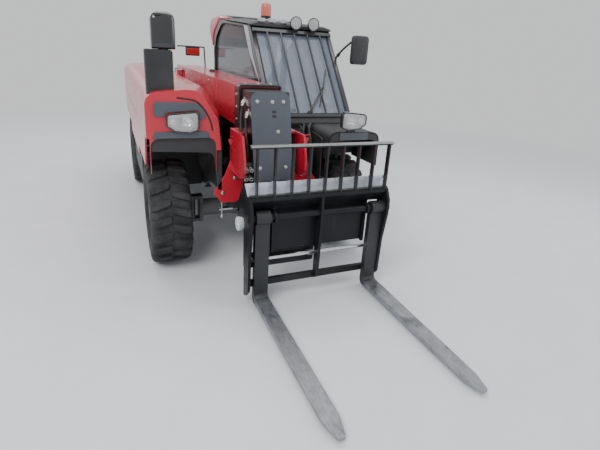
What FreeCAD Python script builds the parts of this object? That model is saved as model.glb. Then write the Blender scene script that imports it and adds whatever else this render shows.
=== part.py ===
import FreeCAD
import Part
import math
import os

# Compact telescopic handler with pallet forks. Millimetres; front is -Y, machine left is +X, up is +Z.
# The origin lies on the ground in the middle of the machine's outline.

# Driving dimensions
WHEELBASE = 2300.0
HALF_WIDTH = 905.0
FRONT_AXLE_Y = -385.0
REAR_AXLE_Y = FRONT_AXLE_Y + WHEELBASE
REAR_END_Y = 2535.0
ROOF_Z = 1920.0

TYRE_R = 415.0
TYRE_W = 310.0
RIM_R = 210.0
LUGS = 20
WHEEL_SIDES = 32
AXLE_Z = TYRE_R
WHEEL_X = HALF_WIDTH - TYRE_W / 2.0
KINGPIN_X = 560.0

BOOM_X = -110.0
BOOM_W = 290.0
BOOM_H = 290.0
BOOM_Z = 1290.0
BOOM_WALL = 10.0
BOOM_GAP = 10.0
BOOM_FRONT_Y = -765.0
BOOM_REAR_Y = 2330.0
PIVOT_Y = 2165.0
PIVOT_R = 30.0
FIT = 0.25
SEAT = 0.3

HEAD_Y = -790.0
TILT_Y = -1145.0
TILT_Z = 330.0
CHEEK_X = 75.0
CHEEK_T = 20.0

COVER_FOOT = (-1126.0, 838.0)
COVER_SLOPE = 13.4

LIFT_BASE = (1620.0, 560.0)
LIFT_EYE = (450.0, 1090.0)
TILT_BASE = (-435.0, 1020.0)
TILT_EYE = (-1172.0, 660.0)

FORK_FACE_Y = -1335.0
FORK_LENGTH = 1200.0
FORK_W = 100.0
FORK_T = 45.0
FORK_Z = 25.0
FORK_XS = (-250.0, 620.0)
FRAME_X0 = -350.0
FRAME_X1 = 690.0
FRAME_TOP = 800.0
FRAME_BOTTOM = 130.0
SHAFT_Z = 655.0
SHAFT_R = 25.0
SHAFT_Y = -1320.0
SHIFT_Y = -1260.0
SHIFT_Z = 325.0
SHIFT_R = 14.0
GUARD_TOP = 1135.0
GUARD_PITCH = 120.0
GUARD_X0 = -297.0

CAB_X0 = 92.0
CAB_X1 = 880.0
SHEET = 12.0
HOOD_IN = -345.0
HOOD_LOW = 850.0
HOOD_FRONT_Y = -835.0
HOOD_TOP = 1420.0
LID_IN = -465.0
LID_LOW = 1105.0
HINGE_X = -463.0
HINGE_Z = 1460.0
HINGE_YS = (500.0, 2000.0)
DOOR_HINGE = (892.0, 1312.0)
DOOR_HINGE_ZS = (700.0, 1450.0)


def vec(x, y, z):
    return FreeCAD.Vector(x, y, z)


def box(x0, x1, y0, y1, z0, z1):
    return Part.makeBox(x1 - x0, y1 - y0, z1 - z0, vec(x0, y0, z0))


def rod(p, q, r):
    a = vec(*p)
    d = vec(*q) - a
    return Part.makeCylinder(r, d.Length, a, d)


def pipe(p, q, r, bore):
    return rod(p, q, r).cut(rod(p, q, bore))


def turned(profile, sides):
    """Solid with flat facets round the X axis; profile is a closed loop of (x, radius)."""
    step = 2.0 * math.pi / sides
    rings = [[vec(x, r * math.cos(i * step), r * math.sin(i * step)) for x, r in profile] for i in range(sides)]
    faces = []
    for i in range(sides):
        here, after = rings[i], rings[(i + 1) % sides]
        for j in range(len(profile)):
            k = (j + 1) % len(profile)
            faces.append(Part.Face(Part.makePolygon([here[j], here[k], after[k], after[j], here[j]])))
    shell = Part.makeShell(faces)
    return Part.makeSolid(shell)


def corner(prev, here, nxt, r):
    a = (vec(*prev) - vec(*here)).normalize()
    b = (vec(*nxt) - vec(*here)).normalize()
    half = a.getAngle(b) / 2.0
    back = r / math.tan(half)
    mid = (a + b).normalize()
    h = vec(*here)
    centre = h + mid * (r / math.sin(half))
    return h + a * back, centre - mid * r, h + b * back


def outline(points):
    """Closed wire from (point, corner radius) pairs, with arcs at the rounded corners."""
    n = len(points)
    ends = []
    for i in range(n):
        here, r = points[i]
        if r > 0:
            ends.append(corner(points[i - 1][0], here, points[(i + 1) % n][0], r))
        else:
            ends.append((vec(*here), None, vec(*here)))
    edges = []
    for i in range(n):
        start, mid, stop = ends[i]
        if mid is not None:
            edges.append(Part.Arc(start, mid, stop).toShape())
        follow = ends[(i + 1) % n][0]
        if (follow - stop).Length > 0.01:
            edges.append(Part.makeLine(stop, follow))
    return Part.Wire(edges)


def plate_x(points, x0, x1):
    """Solid from (y, z, radius) corners, between two x values."""
    wire = outline([((x0, p[0], p[1]), p[2] if len(p) > 2 else 0) for p in points])
    return Part.Face(wire).extrude(vec(x1 - x0, 0, 0))


def plate_y(points, y0, y1):
    """Solid from (x, z, radius) corners, between two y values."""
    wire = outline([((p[0], y0, p[1]), p[2] if len(p) > 2 else 0) for p in points])
    return Part.Face(wire).extrude(vec(0, y1 - y0, 0))


def plate_z(points, z0, z1):
    """Solid from (x, y, radius) corners, between two z values."""
    wire = outline([((p[0], p[1], z0), p[2] if len(p) > 2 else 0) for p in points])
    return Part.Face(wire).extrude(vec(0, 0, z1 - z0))


def loft_y(sections):
    """Ruled solid through (y, corners) sections with like corners."""
    wires = []
    for y, points in sections:
        wires.append(outline([((p[0], y, p[1]), p[2] if len(p) > 2 else 0) for p in points]))
    return Part.makeLoft(wires, True, True)


def mirror_x(shape, x=0.0):
    return shape.mirror(vec(x, 0, 0), vec(1, 0, 0))


def fuse(shapes):
    out = shapes[0].multiFuse(shapes[1:]) if len(shapes) > 1 else shapes[0]
    return out.removeSplitter()


def put(name, *shapes):
    """Writes one node; a node of like pieces holds one solid for each."""
    solids = [solid for shape in shapes for solid in shape.Solids]
    out = solids[0] if len(solids) == 1 else Part.makeCompound(solids)
    out.exportStep("parts/" + name + ".step")


# Wheels


def tyre_shape():
    half = TYRE_W / 2.0
    body = TYRE_R - 24.0
    side = [(half - 45, RIM_R), (half - 10, RIM_R + 25), (half, RIM_R + 85), (half - 6, body - 45), (half - 38, body)]
    carcass = turned(side + [(-x, r) for x, r in side[::-1]], WHEEL_SIDES)
    lugs = []
    for end in (-1, 1):
        outer = end * (half - 8)
        foot = [(end * 6, -50), (end * 6, 10), (outer, 52), (outer, -8)]
        lug = Part.Face(Part.makePolygon([vec(x, y, body - 62) for x, y in foot + foot[:1]]))
        lug = lug.extrude(vec(0, 0, TYRE_R - body + 62))
        slope = [(end * (half - 62), TYRE_R + 1), (end * (half + 20), TYRE_R + 1), (end * (half + 20), body - 88)]
        wedge = Part.makePolygon([vec(x, -90, z) for x, z in slope + slope[:1]])
        lug = lug.cut(Part.Face(wedge).extrude(vec(0, 180, 0)))
        for i in range(LUGS):
            one = lug.copy()
            one.rotate(vec(0, 0, 0), vec(1, 0, 0), (i + (0.5 if end > 0 else 0.0)) * 360.0 / LUGS)
            lugs.append(one)
    return carcass.multiFuse(lugs)


def rim_shape():
    """Wheel disc and rim; the outer side is towards +X."""
    edge = TYRE_W / 2.0 - 40
    lip = RIM_R - 12
    profile = [(-edge, RIM_R), (-edge, lip), (52, lip), (20, 118), (20, 80), (34, 80), (34, 112), (67, lip), (edge, lip), (edge, RIM_R)]
    hub = pipe((20, 0, 0), (60, 0, 0), 98, 40)
    plug = rod((20, 0, 0), (48, 0, 0), 40)
    return turned(profile, WHEEL_SIDES).multiFuse([hub, plug]).removeSplitter()


def wheels():
    tyre = tyre_shape()
    rim = rim_shape()
    for axle, y in (("front", FRONT_AXLE_Y), ("rear", REAR_AXLE_Y)):
        for side, sign in (("right", -1), ("left", 1)):
            for part, shape in (("tyre", tyre), ("rim", rim)):
                one = shape.copy()
                if sign < 0:
                    one.rotate(vec(0, 0, 0), vec(0, 0, 1), 180)
                one.translate(vec(sign * WHEEL_X, y, AXLE_Z))
                put(part + "_" + axle + "_" + side, one)


def axle_shape(y):
    beam = rod((-KINGPIN_X + 75, y, AXLE_Z), (KINGPIN_X - 75, y, AXLE_Z), 70)
    bulge = rod((-120, y, AXLE_Z), (120, y, AXLE_Z), 150)
    seats = [box(s - 55, s + 55, y - 60, y + 60, AXLE_Z + 40, AXLE_Z + 110) for s in (-250, 250)]
    parts = [beam, bulge] + seats
    for sign in (-1, 1):
        x0, x1 = sorted((sign * (KINGPIN_X - 95), sign * (KINGPIN_X - 65)))
        parts.append(box(x0, x1, y - 50, y + 50, AXLE_Z - 110, AXLE_Z + 110))
        x0, x1 = sorted((sign * (KINGPIN_X - 95), sign * (KINGPIN_X + 25)))
        for z0, z1 in ((AXLE_Z - 110, AXLE_Z - 85), (AXLE_Z + 85, AXLE_Z + 110)):
            parts.append(box(x0, x1, y - 40, y + 40, z0, z1))
    return fuse(parts)


def knuckle_shape(sign, y):
    x = sign * KINGPIN_X
    post = rod((x, y, AXLE_Z - 85 + SEAT), (x, y, AXLE_Z + 85 - SEAT), 38)
    face = sign * (WHEEL_X + 20 - SEAT)
    x0, x1 = sorted((x, face))
    hub = box(x0, x1, y - 45, y + 45, AXLE_Z - 45, AXLE_Z + 45)
    flange = rod((sign * (WHEEL_X - 5), y, AXLE_Z), (face, y, AXLE_Z), 95)
    x0, x1 = sorted((x, x - sign * 18))
    arm = box(x0, x1, y + 30, y + 150, AXLE_Z - 20, AXLE_Z + 20)
    return fuse([post, hub, flange, arm])


def running_gear():
    put("axles", axle_shape(FRONT_AXLE_Y), axle_shape(REAR_AXLE_Y))
    for axle, y in (("front", FRONT_AXLE_Y), ("rear", REAR_AXLE_Y)):
        for side, sign in (("right", -1), ("left", 1)):
            put("knuckle_" + axle + "_" + side, knuckle_shape(sign, y))


# Chassis


def rail(notch):
    """Side outline of a chassis rail; the left one is low under the cab."""
    front = [(-935, 640, 40), (-965, 800, 30), (-760, 880, 60), (-420, 770, 60)]
    cab = [(185, 770, 0), (185, 500, 0), (1400, 500, 0), (1400, 770, 0)] if notch else []
    back = [(2400, 770, 20), (2400, 525, 20), (1500, 525, 60), (1300, 380, 60), (250, 380, 60), (50, 500, 60), (-760, 525, 60)]
    if notch:
        back = [(2400, 770, 20), (2400, 525, 20), (1660, 525, 60), (1500, 380, 60), (250, 380, 60), (50, 500, 60), (-760, 525, 60)]
    return front + cab + back


def chassis_rails():
    return [plate_x(rail(False), -330, -310), plate_x(rail(True), 310, 330)]


def chassis_plates():
    """Belly plate, cross plates, axle seats and the lugs of the lift ram."""
    base_y, base_z = LIFT_BASE
    parts = [box(-310, 310, 250, 1735, 380, 392), box(-310, 310, 1730, 1750, 380, 750)]
    lug = [(base_y - 90, 380, 0), (base_y - 50, base_z + 50, 45), (base_y + 50, base_z + 50, 45), (1735, 545, 0), (1735, 380, 0)]
    for dx in (-75, 55):
        parts.append(plate_x(lug, BOOM_X + dx, BOOM_X + dx + 20))
    parts.append(rod((BOOM_X - 75, base_y, base_z), (BOOM_X + 75, base_y, base_z), 22))
    return fuse(parts)


def boom_tower():
    side = BOOM_W / 2 + 20
    foot = BOOM_Z - 670
    tower = [(1900, foot, 0), (1900, foot + 160, 0), (1985, BOOM_Z + 50, 60), (2060, BOOM_Z + 110, 60),
             (2270, BOOM_Z + 110, 60), (2380, foot + 160, 0), (2380, foot, 0)]
    parts = []
    for x0 in (BOOM_X - side - 25, BOOM_X + side):
        parts.append(plate_x(tower, x0, x0 + 25))
    for y, z in ((1900, 575), (2380, 545)):
        parts.append(box(-310, 310, y, y + 20, z, 750))
    parts.append(rod((BOOM_X - side - 25, PIVOT_Y, BOOM_Z), (BOOM_X + side + 25, PIVOT_Y, BOOM_Z), PIVOT_R))
    return fuse(parts)


def front_plates():
    """Cross plates between the rails ahead of the cab, and the seats of both axles."""
    parts = [box(-310, 310, y, y + 20, z0, z1) for y, z0, z1 in ((-800.0, 535, 620), (-80.0, 515, 750))]
    for y in (FRONT_AXLE_Y, REAR_AXLE_Y):
        for x in (-250, 250):
            parts.append(box(x - 60, x + 60, y - 60, y + 60, AXLE_Z + 110, 570))
    return parts


def outriggers():
    """Brackets that carry the engine, the right-hand body and the two front fenders."""
    parts = []
    for y in (400.0, 1200.0):
        parts.append(box(-800, -330, y, y + 40, 755, 770))
    for y in (100.0, 2330.0):
        parts.append(box(-350, -330, y, y + 60, 700, HOOD_LOW).fuse(box(-HALF_WIDTH + SHEET, -330, y, y + 60, HOOD_LOW - 20, HOOD_LOW)))
    for sign in (-1, 1):
        x0, x1 = sorted((sign * 330.0, sign * 350.0))
        post = box(x0, x1, -560, -530, 700, 975)
        x0, x1 = sorted((sign * 330.0, sign * (HALF_WIDTH - SHEET)))
        parts.append(post.fuse(box(x0, x1, -560, -530, 975, 995)))
    for y in (1700.0, 2340.0):
        parts.append(box(330, 350, y, y + 60, 700, 1088))
    return parts


def engine_block():
    return box(-780, -390, 330, 1350, 770, 1200)


def fuel_tank():
    pts = [(-880, 420, 30), (-880, 750, 30), (-330, 750, 0), (-330, 420, 30)]
    return plate_y(pts, 260, 1330)


def counterweight():
    body = [(-800, 470, 60), (-800, 1000, 60), (800, 1000, 60), (800, 470, 60)]
    block = plate_y(body, 2485, REAR_END_Y)
    return block.fuse(box(-330, 330, 2400, 2485, 540, 760)).removeSplitter()


# Right side bodywork


def hood_corners(front, drop=0.0, grow=0.0):
    """Section of the right-hand bodywork: front 1 is the narrow nose, front 0 the full body."""
    inner = HOOD_IN - 75.0 * front
    top = HOOD_TOP - 15.0 * front + drop
    g = grow
    return [(-HALF_WIDTH + g, HOOD_LOW - 2 * g, 0), (-HALF_WIDTH + g, top - 20 - g, 90 - g), (-640, top - g + 5, 60),
            (inner - 130, top - g, 100 - g), (inner - 5 - g, 1210, 80 - g * 0.5), (inner + 15 - g, 1000, 0),
            (inner + 15 - g, HOOD_LOW - 2 * g, 0)]


def fender_front_right():
    outer = loft_y([(HOOD_FRONT_Y, hood_corners(1.0)), (-520.0, hood_corners(0.0)), (135.0, hood_corners(0.0))])
    inner = loft_y([(HOOD_FRONT_Y + SHEET, hood_corners(1.0, 0, SHEET)), (-520.0, hood_corners(0.0, 0, SHEET)),
                    (136.0, hood_corners(0.0, 0, SHEET))])
    mouth = plate_y([(-882, 700, 0), (-882, 1090, 60), (-442, 1090, 60), (-442, 700, 0)], HOOD_FRONT_Y - 5, HOOD_FRONT_Y + SHEET + 5)
    tip = plate_x([(-900, 700, 0), (-900, 1090, 0), (-690, 1090, 0), (-575, 840, 0), (-575, 700, 0)], -910, -885)
    inner_cut = box(-440, -300, -900, -500, 700, 1000)
    return outer.cut(inner).cut(mouth).cut(tip).cut(inner_cut).removeSplitter()


def rear_hood():
    """Hollow right-hand body behind the front fender, closed at the back."""
    outer = loft_y([(141.0, hood_corners(0.0)), (1300.0, hood_corners(0.0, 25.0)), (2470.0, hood_corners(0.0, 10.0))])
    inner = loft_y([(140.0, hood_corners(0.0, 0, SHEET)), (1300.0, hood_corners(0.0, 25.0, SHEET)),
                    (2470.0 - SHEET, hood_corners(0.0, 10.0, SHEET))])
    return outer.cut(inner)


def bonnet():
    parts = [rear_hood().common(box(-950, LID_IN, 146, 2440, LID_LOW, 1600))]
    for y in HINGE_YS:
        parts.append(pipe((HINGE_X, y, HINGE_Z), (HINGE_X, y + 80, HINGE_Z), 11, 5 + SEAT))
        leaf = box(HINGE_X - 45, HINGE_X - 7, y, y + 80, HOOD_TOP + 4, HINGE_Z + 4)
        parts.append(leaf)
    return fuse(parts)


def side_panel_right():
    skin = rear_hood().cut(box(-950, LID_IN + 6, 135, 2446, LID_LOW - 6, 1600))
    low = box(-905, -893, 141, 1330, 765, 850)
    parts = [skin, low]
    for y in HINGE_YS:
        parts.append(rod((HINGE_X, y - 20, HINGE_Z), (HINGE_X, y + 100, HINGE_Z), 5))
        for dy in (-20, 90):
            parts.append(box(HINGE_X + 8, HINGE_X + 25, y + dy, y + dy + 10, HOOD_TOP - 40, HINGE_Z + 6))
            parts.append(box(HINGE_X - 6, HINGE_X + 8, y + dy, y + dy + 10, HINGE_Z - 6, HINGE_Z + 6))
    return fuse(parts)


def lamp_panel(sign):
    pts = [(-862, 1235, 30), (-862, 1330, 30), (-560, 1330, 80), (-500, 1235, 30)]
    upper = plate_y(pts, HOOD_FRONT_Y - 8, HOOD_FRONT_Y)
    pts = [(-865, 1094, 0), (-865, 1135, 20), (-490, 1135, 0), (-490, 1094, 0)]
    lower = plate_y(pts, HOOD_FRONT_Y - 8, HOOD_FRONT_Y)
    bar = box(-585, -565, HOOD_FRONT_Y - 8, HOOD_FRONT_Y, 1130, 1240)
    lamp = headlight_solid(4.0)
    out = fuse([upper, lower, bar]).cut(lamp)
    return out if sign < 0 else mirror_x(out)


def headlight_solid(grow=0.0):
    g = grow
    pts = [(-773 - g, 1150 - g, 30), (-773 - g, 1250 + g, 25), (-563 + g, 1268 + g, 25), (-563 + g, 1130 - g, 25), (-690, 1130 - g, 20)]
    return plate_y(pts, HOOD_FRONT_Y - 40, HOOD_FRONT_Y)


def fender_front_left():
    def corners(g):
        return [(HALF_WIDTH - g, HOOD_LOW - 2 * g, 0), (HALF_WIDTH - g, 1290 - g, 80 - g), (450 + g, 1300 - g, 80 - g), (430 + g, HOOD_LOW - 2 * g, 0)]
    outer = loft_y([(HOOD_FRONT_Y, corners(0.0)), (-430.0, corners(0.0))])
    inner = loft_y([(HOOD_FRONT_Y + SHEET, corners(SHEET)), (-429.0, corners(SHEET))])
    mouth = plate_y([(882, 700, 0), (882, 1090, 60), (442, 1090, 60), (442, 700, 0)], HOOD_FRONT_Y - 5, HOOD_FRONT_Y + SHEET + 5)
    tip = plate_x([(-900, 700, 0), (-900, 1090, 0), (-690, 1090, 0), (-575, 840, 0), (-575, 700, 0)], 885, 910)
    inner_cut = box(300, 465, -900, -400, 700, 1000)
    return outer.cut(inner).cut(mouth).cut(tip).cut(inner_cut).removeSplitter()


def fender_rear_left():
    pts = [(1395, 850, 0), (1395, 975, 0), (1670, 975, 0), (1670, 1100, 0), (2470, 1100, 60), (2470, 850, 0)]
    outer = plate_x(pts, 560, HALF_WIDTH)
    inner = plate_x([(1407, 800, 0), (1407, 963, 0), (1682, 963, 0), (1682, 1088, 0), (2458, 1088, 50), (2458, 800, 0)], 572, HALF_WIDTH - SHEET)
    deck = box(92, 560, 1670, 2470, 1088, 1100)
    return outer.cut(inner).fuse(deck).removeSplitter()


# Cab


CAB_SIDE = [(-385, 1180), (190, 1880), (1560, 1880), (1665, 1700), (1665, 1010), (1390, 1010), (1390, 500), (195, 500), (195, 980), (-385, 1080)]


SIDE_WINDOW = [(-110, 1375, 30), (255, 1840, 40), (1490, 1840, 70), (1625, 1690, 70), (1625, 1375, 20)]


def cab_side_plate(x0, x1, holes):
    plate = plate_x([(p[0], p[1], 0) for p in CAB_SIDE], x0, x1)
    for hole in holes:
        plate = plate.cut(plate_x(hole, x0 - 1, x1 + 1))
    return plate


def cab_frame():
    right = cab_side_plate(CAB_X0, CAB_X0 + 40, [SIDE_WINDOW])
    door_gap = [(-330, 1130, 20), (235, 1858, 30), (1310, 1858, 30), (1310, 560, 30), (240, 560, 30), (240, 1020, 30)]
    left_rear = [(1350, 1200, 20), (1350, 1850, 20), (1520, 1850, 60), (1625, 1680, 60), (1625, 1200, 20)]
    left = cab_side_plate(CAB_X1 - 40, CAB_X1, [door_gap, left_rear])
    inner0, inner1 = CAB_X0 + 40, CAB_X1 - 40
    floor = box(inner0, inner1, 195, 1390, 500, 530)
    back_low = box(inner0, inner1, 1350, 1390, 530, 1010)
    seat_deck = box(inner0, inner1, 1350, 1665, 980, 1030)
    back = box(inner0, inner1, 1635, 1665, 1030, 1250)
    back_top = box(inner0, inner1, 1545, 1575, 1800, 1880)
    front_low = plate_x([(195, 500, 0), (195, 980, 0), (-385, 1080, 0), (-385, 1180, 0), (-345, 1180, 0), (-345, 1110, 0),
                         (225, 1010, 0), (225, 500, 0)], inner0, inner1)
    head = plate_x([(150, 1831, 0), (190, 1880, 0), (250, 1880, 0), (250, 1831, 0)], inner0, inner1)
    hinges = []
    x, y = DOOR_HINGE
    for z in DOOR_HINGE_ZS:
        hinges.append(rod((x, y, z - 15), (x, y, z + 75), 5))
        for dz in (-15, 60 + SEAT):
            hinges.append(box(CAB_X1, x + 8, y, y + 25, z + dz, z + dz + 15))
            hinges.append(rod((x, y, z + dz), (x, y, z + dz + 15), 8))
    put("cab_floor", fuse([floor, back_low, seat_deck, back, front_low]))
    return fuse([right, left, back_top, head] + hinges)


def cab_roof():
    pts = [(CAB_X0 - 12, 1880, 0), (CAB_X0 - 12, 1900, 0), (CAB_X0 + 60, ROOF_Z, 60), (CAB_X1 - 60, ROOF_Z, 60), (CAB_X1 + 8, 1900, 0), (CAB_X1 + 8, 1880, 0)]
    return plate_y(pts, 165, 1600)


def windscreen():
    pts = [(-378, 1181), (-367, 1181), (175, 1840), (164, 1848)]
    return plate_x([(p[0], p[1], 0) for p in pts], CAB_X0 + 40, CAB_X1 - 40).common(box(0, 1000, -400, 300, 1181, 1831))


def rear_glass():
    pts = [(1640, 1250, 0), (1646, 1250, 0), (1646, 1700, 0), (1575, 1800, 0), (1567, 1800, 0), (1640, 1698, 0)]
    return plate_x(pts, CAB_X0 + 40, CAB_X1 - 40)


def side_glass():
    return plate_x(SIDE_WINDOW, CAB_X0 + 16, CAB_X0 + 22)


def screen_guard():
    bars = []
    for i in range(5):
        x = 225 + i * 130
        bars.append(plate_x([(-423, 1170, 0), (-411, 1170, 0), (151, 1855, 0), (140, 1865, 0)], x, x + 14))
    top = plate_x([(140, 1865, 0), (151, 1855, 0), (130, 1830, 0), (119, 1840, 0)], CAB_X0 + 10, CAB_X1 - 10)
    low = plate_x([(-423, 1170, 0), (-411, 1170, 0), (-395, 1190, 0), (-407, 1190, 0)], CAB_X0 + 10, CAB_X1 - 10)
    feet = [box(x, x + 20, -412, -385, 1170, 1180) for x in (CAB_X0 + 12, CAB_X1 - 32)]
    return fuse(bars + [top, low] + feet)


def cab_door():
    skin = [(-322, 1135, 18), (238, 1852, 28), (1304, 1852, 28), (1304, 566, 28), (246, 566, 28), (246, 1026, 28)]
    window = [(-250, 1160, 18), (262, 1815, 20), (1265, 1815, 20), (1265, 900, 20), (300, 900, 20), (300, 1070, 20)]
    door = plate_x(skin, CAB_X1 - 32, CAB_X1 - 4).cut(plate_x(window, CAB_X1 - 40, CAB_X1))
    x, y = DOOR_HINGE
    parts = [door]
    for z in DOOR_HINGE_ZS:
        parts.append(pipe((x, y, z), (x, y, z + 60), 11, 5 + SEAT))
        parts.append(box(CAB_X1 - 4, x - 7, y - 45, y - 7, z, z + 60))
        parts.append(box(x - 8, x + 2, y - 40, y - 8, z, z + 60))
    return fuse(parts)


def door_glass():
    window = [(-250, 1160, 18), (262, 1815, 20), (1265, 1815, 20), (1265, 900, 20), (300, 900, 20), (300, 1070, 20)]
    return plate_x(window, CAB_X1 - 20, CAB_X1 - 14)


def seat():
    base = box(330, 640, 850, 1250, 530, 760)
    cushion = plate_x([(770, 760, 20), (760, 850, 40), (1240, 880, 40), (1240, 760, 20)], 260, 710)
    back = plate_x([(1190, 870, 20), (1290, 1400, 20), (1345, 1400, 20), (1270, 860, 20)], 270, 700)
    return fuse([base, cushion, back])


def controls():
    column = rod((485, 290, 556), (485, 420, 1080), 45)
    foot = box(430, 540, 240, 340, 530, 570)
    grip = [(-12, 166), (-12, 186), (12, 186), (12, 166)]
    wheel = turned(grip, 24)
    wheel.rotate(vec(0, 0, 0), vec(0, 1, 0), -90)
    wheel.rotate(vec(0, 0, 0), vec(1, 0, 0), -14)
    wheel.translate(vec(485, 424, 1095))
    hub = rod((485, 418, 1070), (485, 427, 1105), 40)
    spokes = [rod((485, 424, 1095), (485 + 175 * math.cos(a), 424 + 175 * math.sin(a) * 0.97, 1095 - 175 * math.sin(a) * 0.24), 9)
              for a in (0.5, 2.64, 4.71)]
    return fuse([column, foot, wheel, hub] + spokes)


# Boom


def boom_tube(x0, x1, z0, z1, y0, y1, t):
    return box(x0, x1, y0, y1, z0, z1).cut(box(x0 + t, x1 - t, y0 - 1, y1 + 1, z0 + t, z1 - t))


def boom_outer():
    x0, x1 = BOOM_X - BOOM_W / 2, BOOM_X + BOOM_W / 2
    z0, z1 = BOOM_Z - BOOM_H / 2, BOOM_Z + BOOM_H / 2
    tube = boom_tube(x0, x1, z0, z1, BOOM_FRONT_Y, BOOM_REAR_Y, BOOM_WALL)
    collar = boom_tube(x0 - 12, x1 + 12, z0 - 12, z1 + 12, BOOM_FRONT_Y, BOOM_FRONT_Y + 90, 12.5)
    collar = collar.cut(box(x0, x1, BOOM_FRONT_Y, BOOM_FRONT_Y + 90, z0, z1))
    bore = rod((x0 - 20, PIVOT_Y, BOOM_Z), (x1 + 20, PIVOT_Y, BOOM_Z), PIVOT_R + FIT)
    boss = rod((x0, PIVOT_Y, BOOM_Z), (x1, PIVOT_Y, BOOM_Z), 55).cut(bore)
    tube = tube.cut(bore)
    lugs = []
    for dx in (-75, 55):
        pts = [(250, z0, 0), (390, 1050, 40), (510, 1050, 40), (700, z0, 0)]
        lugs.append(plate_x(pts, BOOM_X + dx, BOOM_X + dx + 20))
        x0 = BOOM_X + (dx - 12 if dx < 0 else dx + 20)
        lugs.append(rod((x0, LIFT_EYE[0], LIFT_EYE[1]), (x0 + 12, LIFT_EYE[0], LIFT_EYE[1]), 30))
    return fuse([tube, boss, collar] + lugs)


def boom_inner():
    inset = BOOM_WALL + BOOM_GAP
    x0, x1 = BOOM_X - BOOM_W / 2 + inset, BOOM_X + BOOM_W / 2 - inset
    z0, z1 = BOOM_Z - BOOM_H / 2 + inset, BOOM_Z + BOOM_H / 2 - inset
    tube = boom_tube(x0, x1, z0, z1, HEAD_Y, 1950.0, 8.0)
    pads = []
    t = BOOM_GAP - SEAT
    for y in (BOOM_FRONT_Y + 40, 1800.0):
        pads.append(boom_tube(x0 - t, x1 + t, z0 - t, z1 + t, y, y + 120, t + 1.0).cut(box(x0, x1, y, y + 120, z0, z1)))
    return fuse([tube] + pads)


def cover_y(z):
    """Back face of the sloping cover plate on the boom head."""
    return COVER_FOOT[0] + (z - COVER_FOOT[1]) * math.tan(math.radians(COVER_SLOPE))


def boom_head():
    cap = plate_x([(HEAD_Y, 1150), (cover_y(1150), 1150), (cover_y(1420), 1420), (HEAD_Y, 1420)], BOOM_X - 140, BOOM_X + 140)
    cap = cap.cut(box(BOOM_X - 128, BOOM_X + 128, -900, HEAD_Y + 1, 1162, 1408))
    cheek = [(-800, 1160, 0), (cover_y(1160), 1160, 0), (cover_y(850), 850, 0), (-1160, 480, 30), (-1195, 330, 20), (-1165, 270, 20), (-1115, 270, 20), (-1095, 330, 20),
             (-1060, 480, 30), (-985, 880, 20), (-850, 950, 20), (-435, 965, 50), (-375, 1020, 50), (-435, 1075, 50), (-800, 1100, 20)]
    parts = [cap]
    for x0 in (BOOM_X - CHEEK_X - CHEEK_T, BOOM_X + CHEEK_X):
        parts.append(plate_x(cheek, x0, x0 + CHEEK_T))
    back = plate_x([(cover_y(1160), 1160), (cover_y(850), 850), (cover_y(850) + 15, 850), (cover_y(1160) + 15, 1160)],
                   BOOM_X - CHEEK_X, BOOM_X + CHEEK_X)
    pin = rod((BOOM_X - CHEEK_X - CHEEK_T, TILT_BASE[0], TILT_BASE[1]), (BOOM_X + CHEEK_X + CHEEK_T, TILT_BASE[0], TILT_BASE[1]), 20)
    body = fuse(parts + [back, pin])
    bore = rod((BOOM_X - 200, TILT_Y, TILT_Z), (BOOM_X + 200, TILT_Y, TILT_Z), 25 + FIT)
    return body.cut(bore).removeSplitter()


def head_plate(sign):
    edge = [(-800, 1150, 0), (-1110, 1150, 0), (-1165, 1000, 80), (-1160, 880, 60), (-1060, 850, 20), (-800, 850, 60)]
    x_in, x_out = 210.0, 225.0
    x0, x1 = sorted((BOOM_X + sign * x_in, BOOM_X + sign * x_out))
    web = plate_x(edge, x0, x1)
    x0, x1 = sorted((BOOM_X + sign * (CHEEK_X + CHEEK_T), BOOM_X + sign * x_out))
    flange = box(x0, x1, -970, -800, 1135, 1150)
    return web.fuse(flange).removeSplitter()


def head_cover():
    pts = [(BOOM_X - 140, 0, 0), (BOOM_X - 140, 600, 60), (BOOM_X + 140, 600, 60), (BOOM_X + 140, 0, 0)]
    flat = plate_y(pts, -8, 0)
    flat.rotate(vec(0, 0, 0), vec(1, 0, 0), -COVER_SLOPE)
    flat.translate(vec(0, COVER_FOOT[0], COVER_FOOT[1]))
    return flat


def cylinder_ends(base, eye):
    d = vec(0, eye[0] - base[0], eye[1] - base[1])
    return d.normalize()


def ram(base, eye, barrel_r, rod_r, eye_r, pin_r, barrel_len, bore_start, rod_start, width):
    """Barrel and rod of a hydraulic ram lying along the line from base pin to rod eye."""
    d = cylinder_ends(base, eye)
    b = vec(BOOM_X, base[0], base[1])
    e = vec(BOOM_X, eye[0], eye[1])
    length = (e - b).Length
    start = b + d * (eye_r - 8)
    tube = Part.makeCylinder(barrel_r, barrel_len - (eye_r - 8), start, d)
    bore = Part.makeCylinder(rod_r + SEAT, barrel_len, b + d * bore_start, d)
    foot = rod((BOOM_X - width / 2, base[0], base[1]), (BOOM_X + width / 2, base[0], base[1]), eye_r)
    hole = rod((BOOM_X - width, base[0], base[1]), (BOOM_X + width, base[0], base[1]), pin_r + FIT)
    barrel = tube.fuse(foot).cut(bore).cut(hole).removeSplitter()
    stem = Part.makeCylinder(rod_r, length - rod_start - eye_r + 8, b + d * rod_start, d)
    head = rod((BOOM_X - width / 2, eye[0], eye[1]), (BOOM_X + width / 2, eye[0], eye[1]), eye_r)
    return barrel, stem.fuse(head).removeSplitter()


# Carriage and forks


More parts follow.
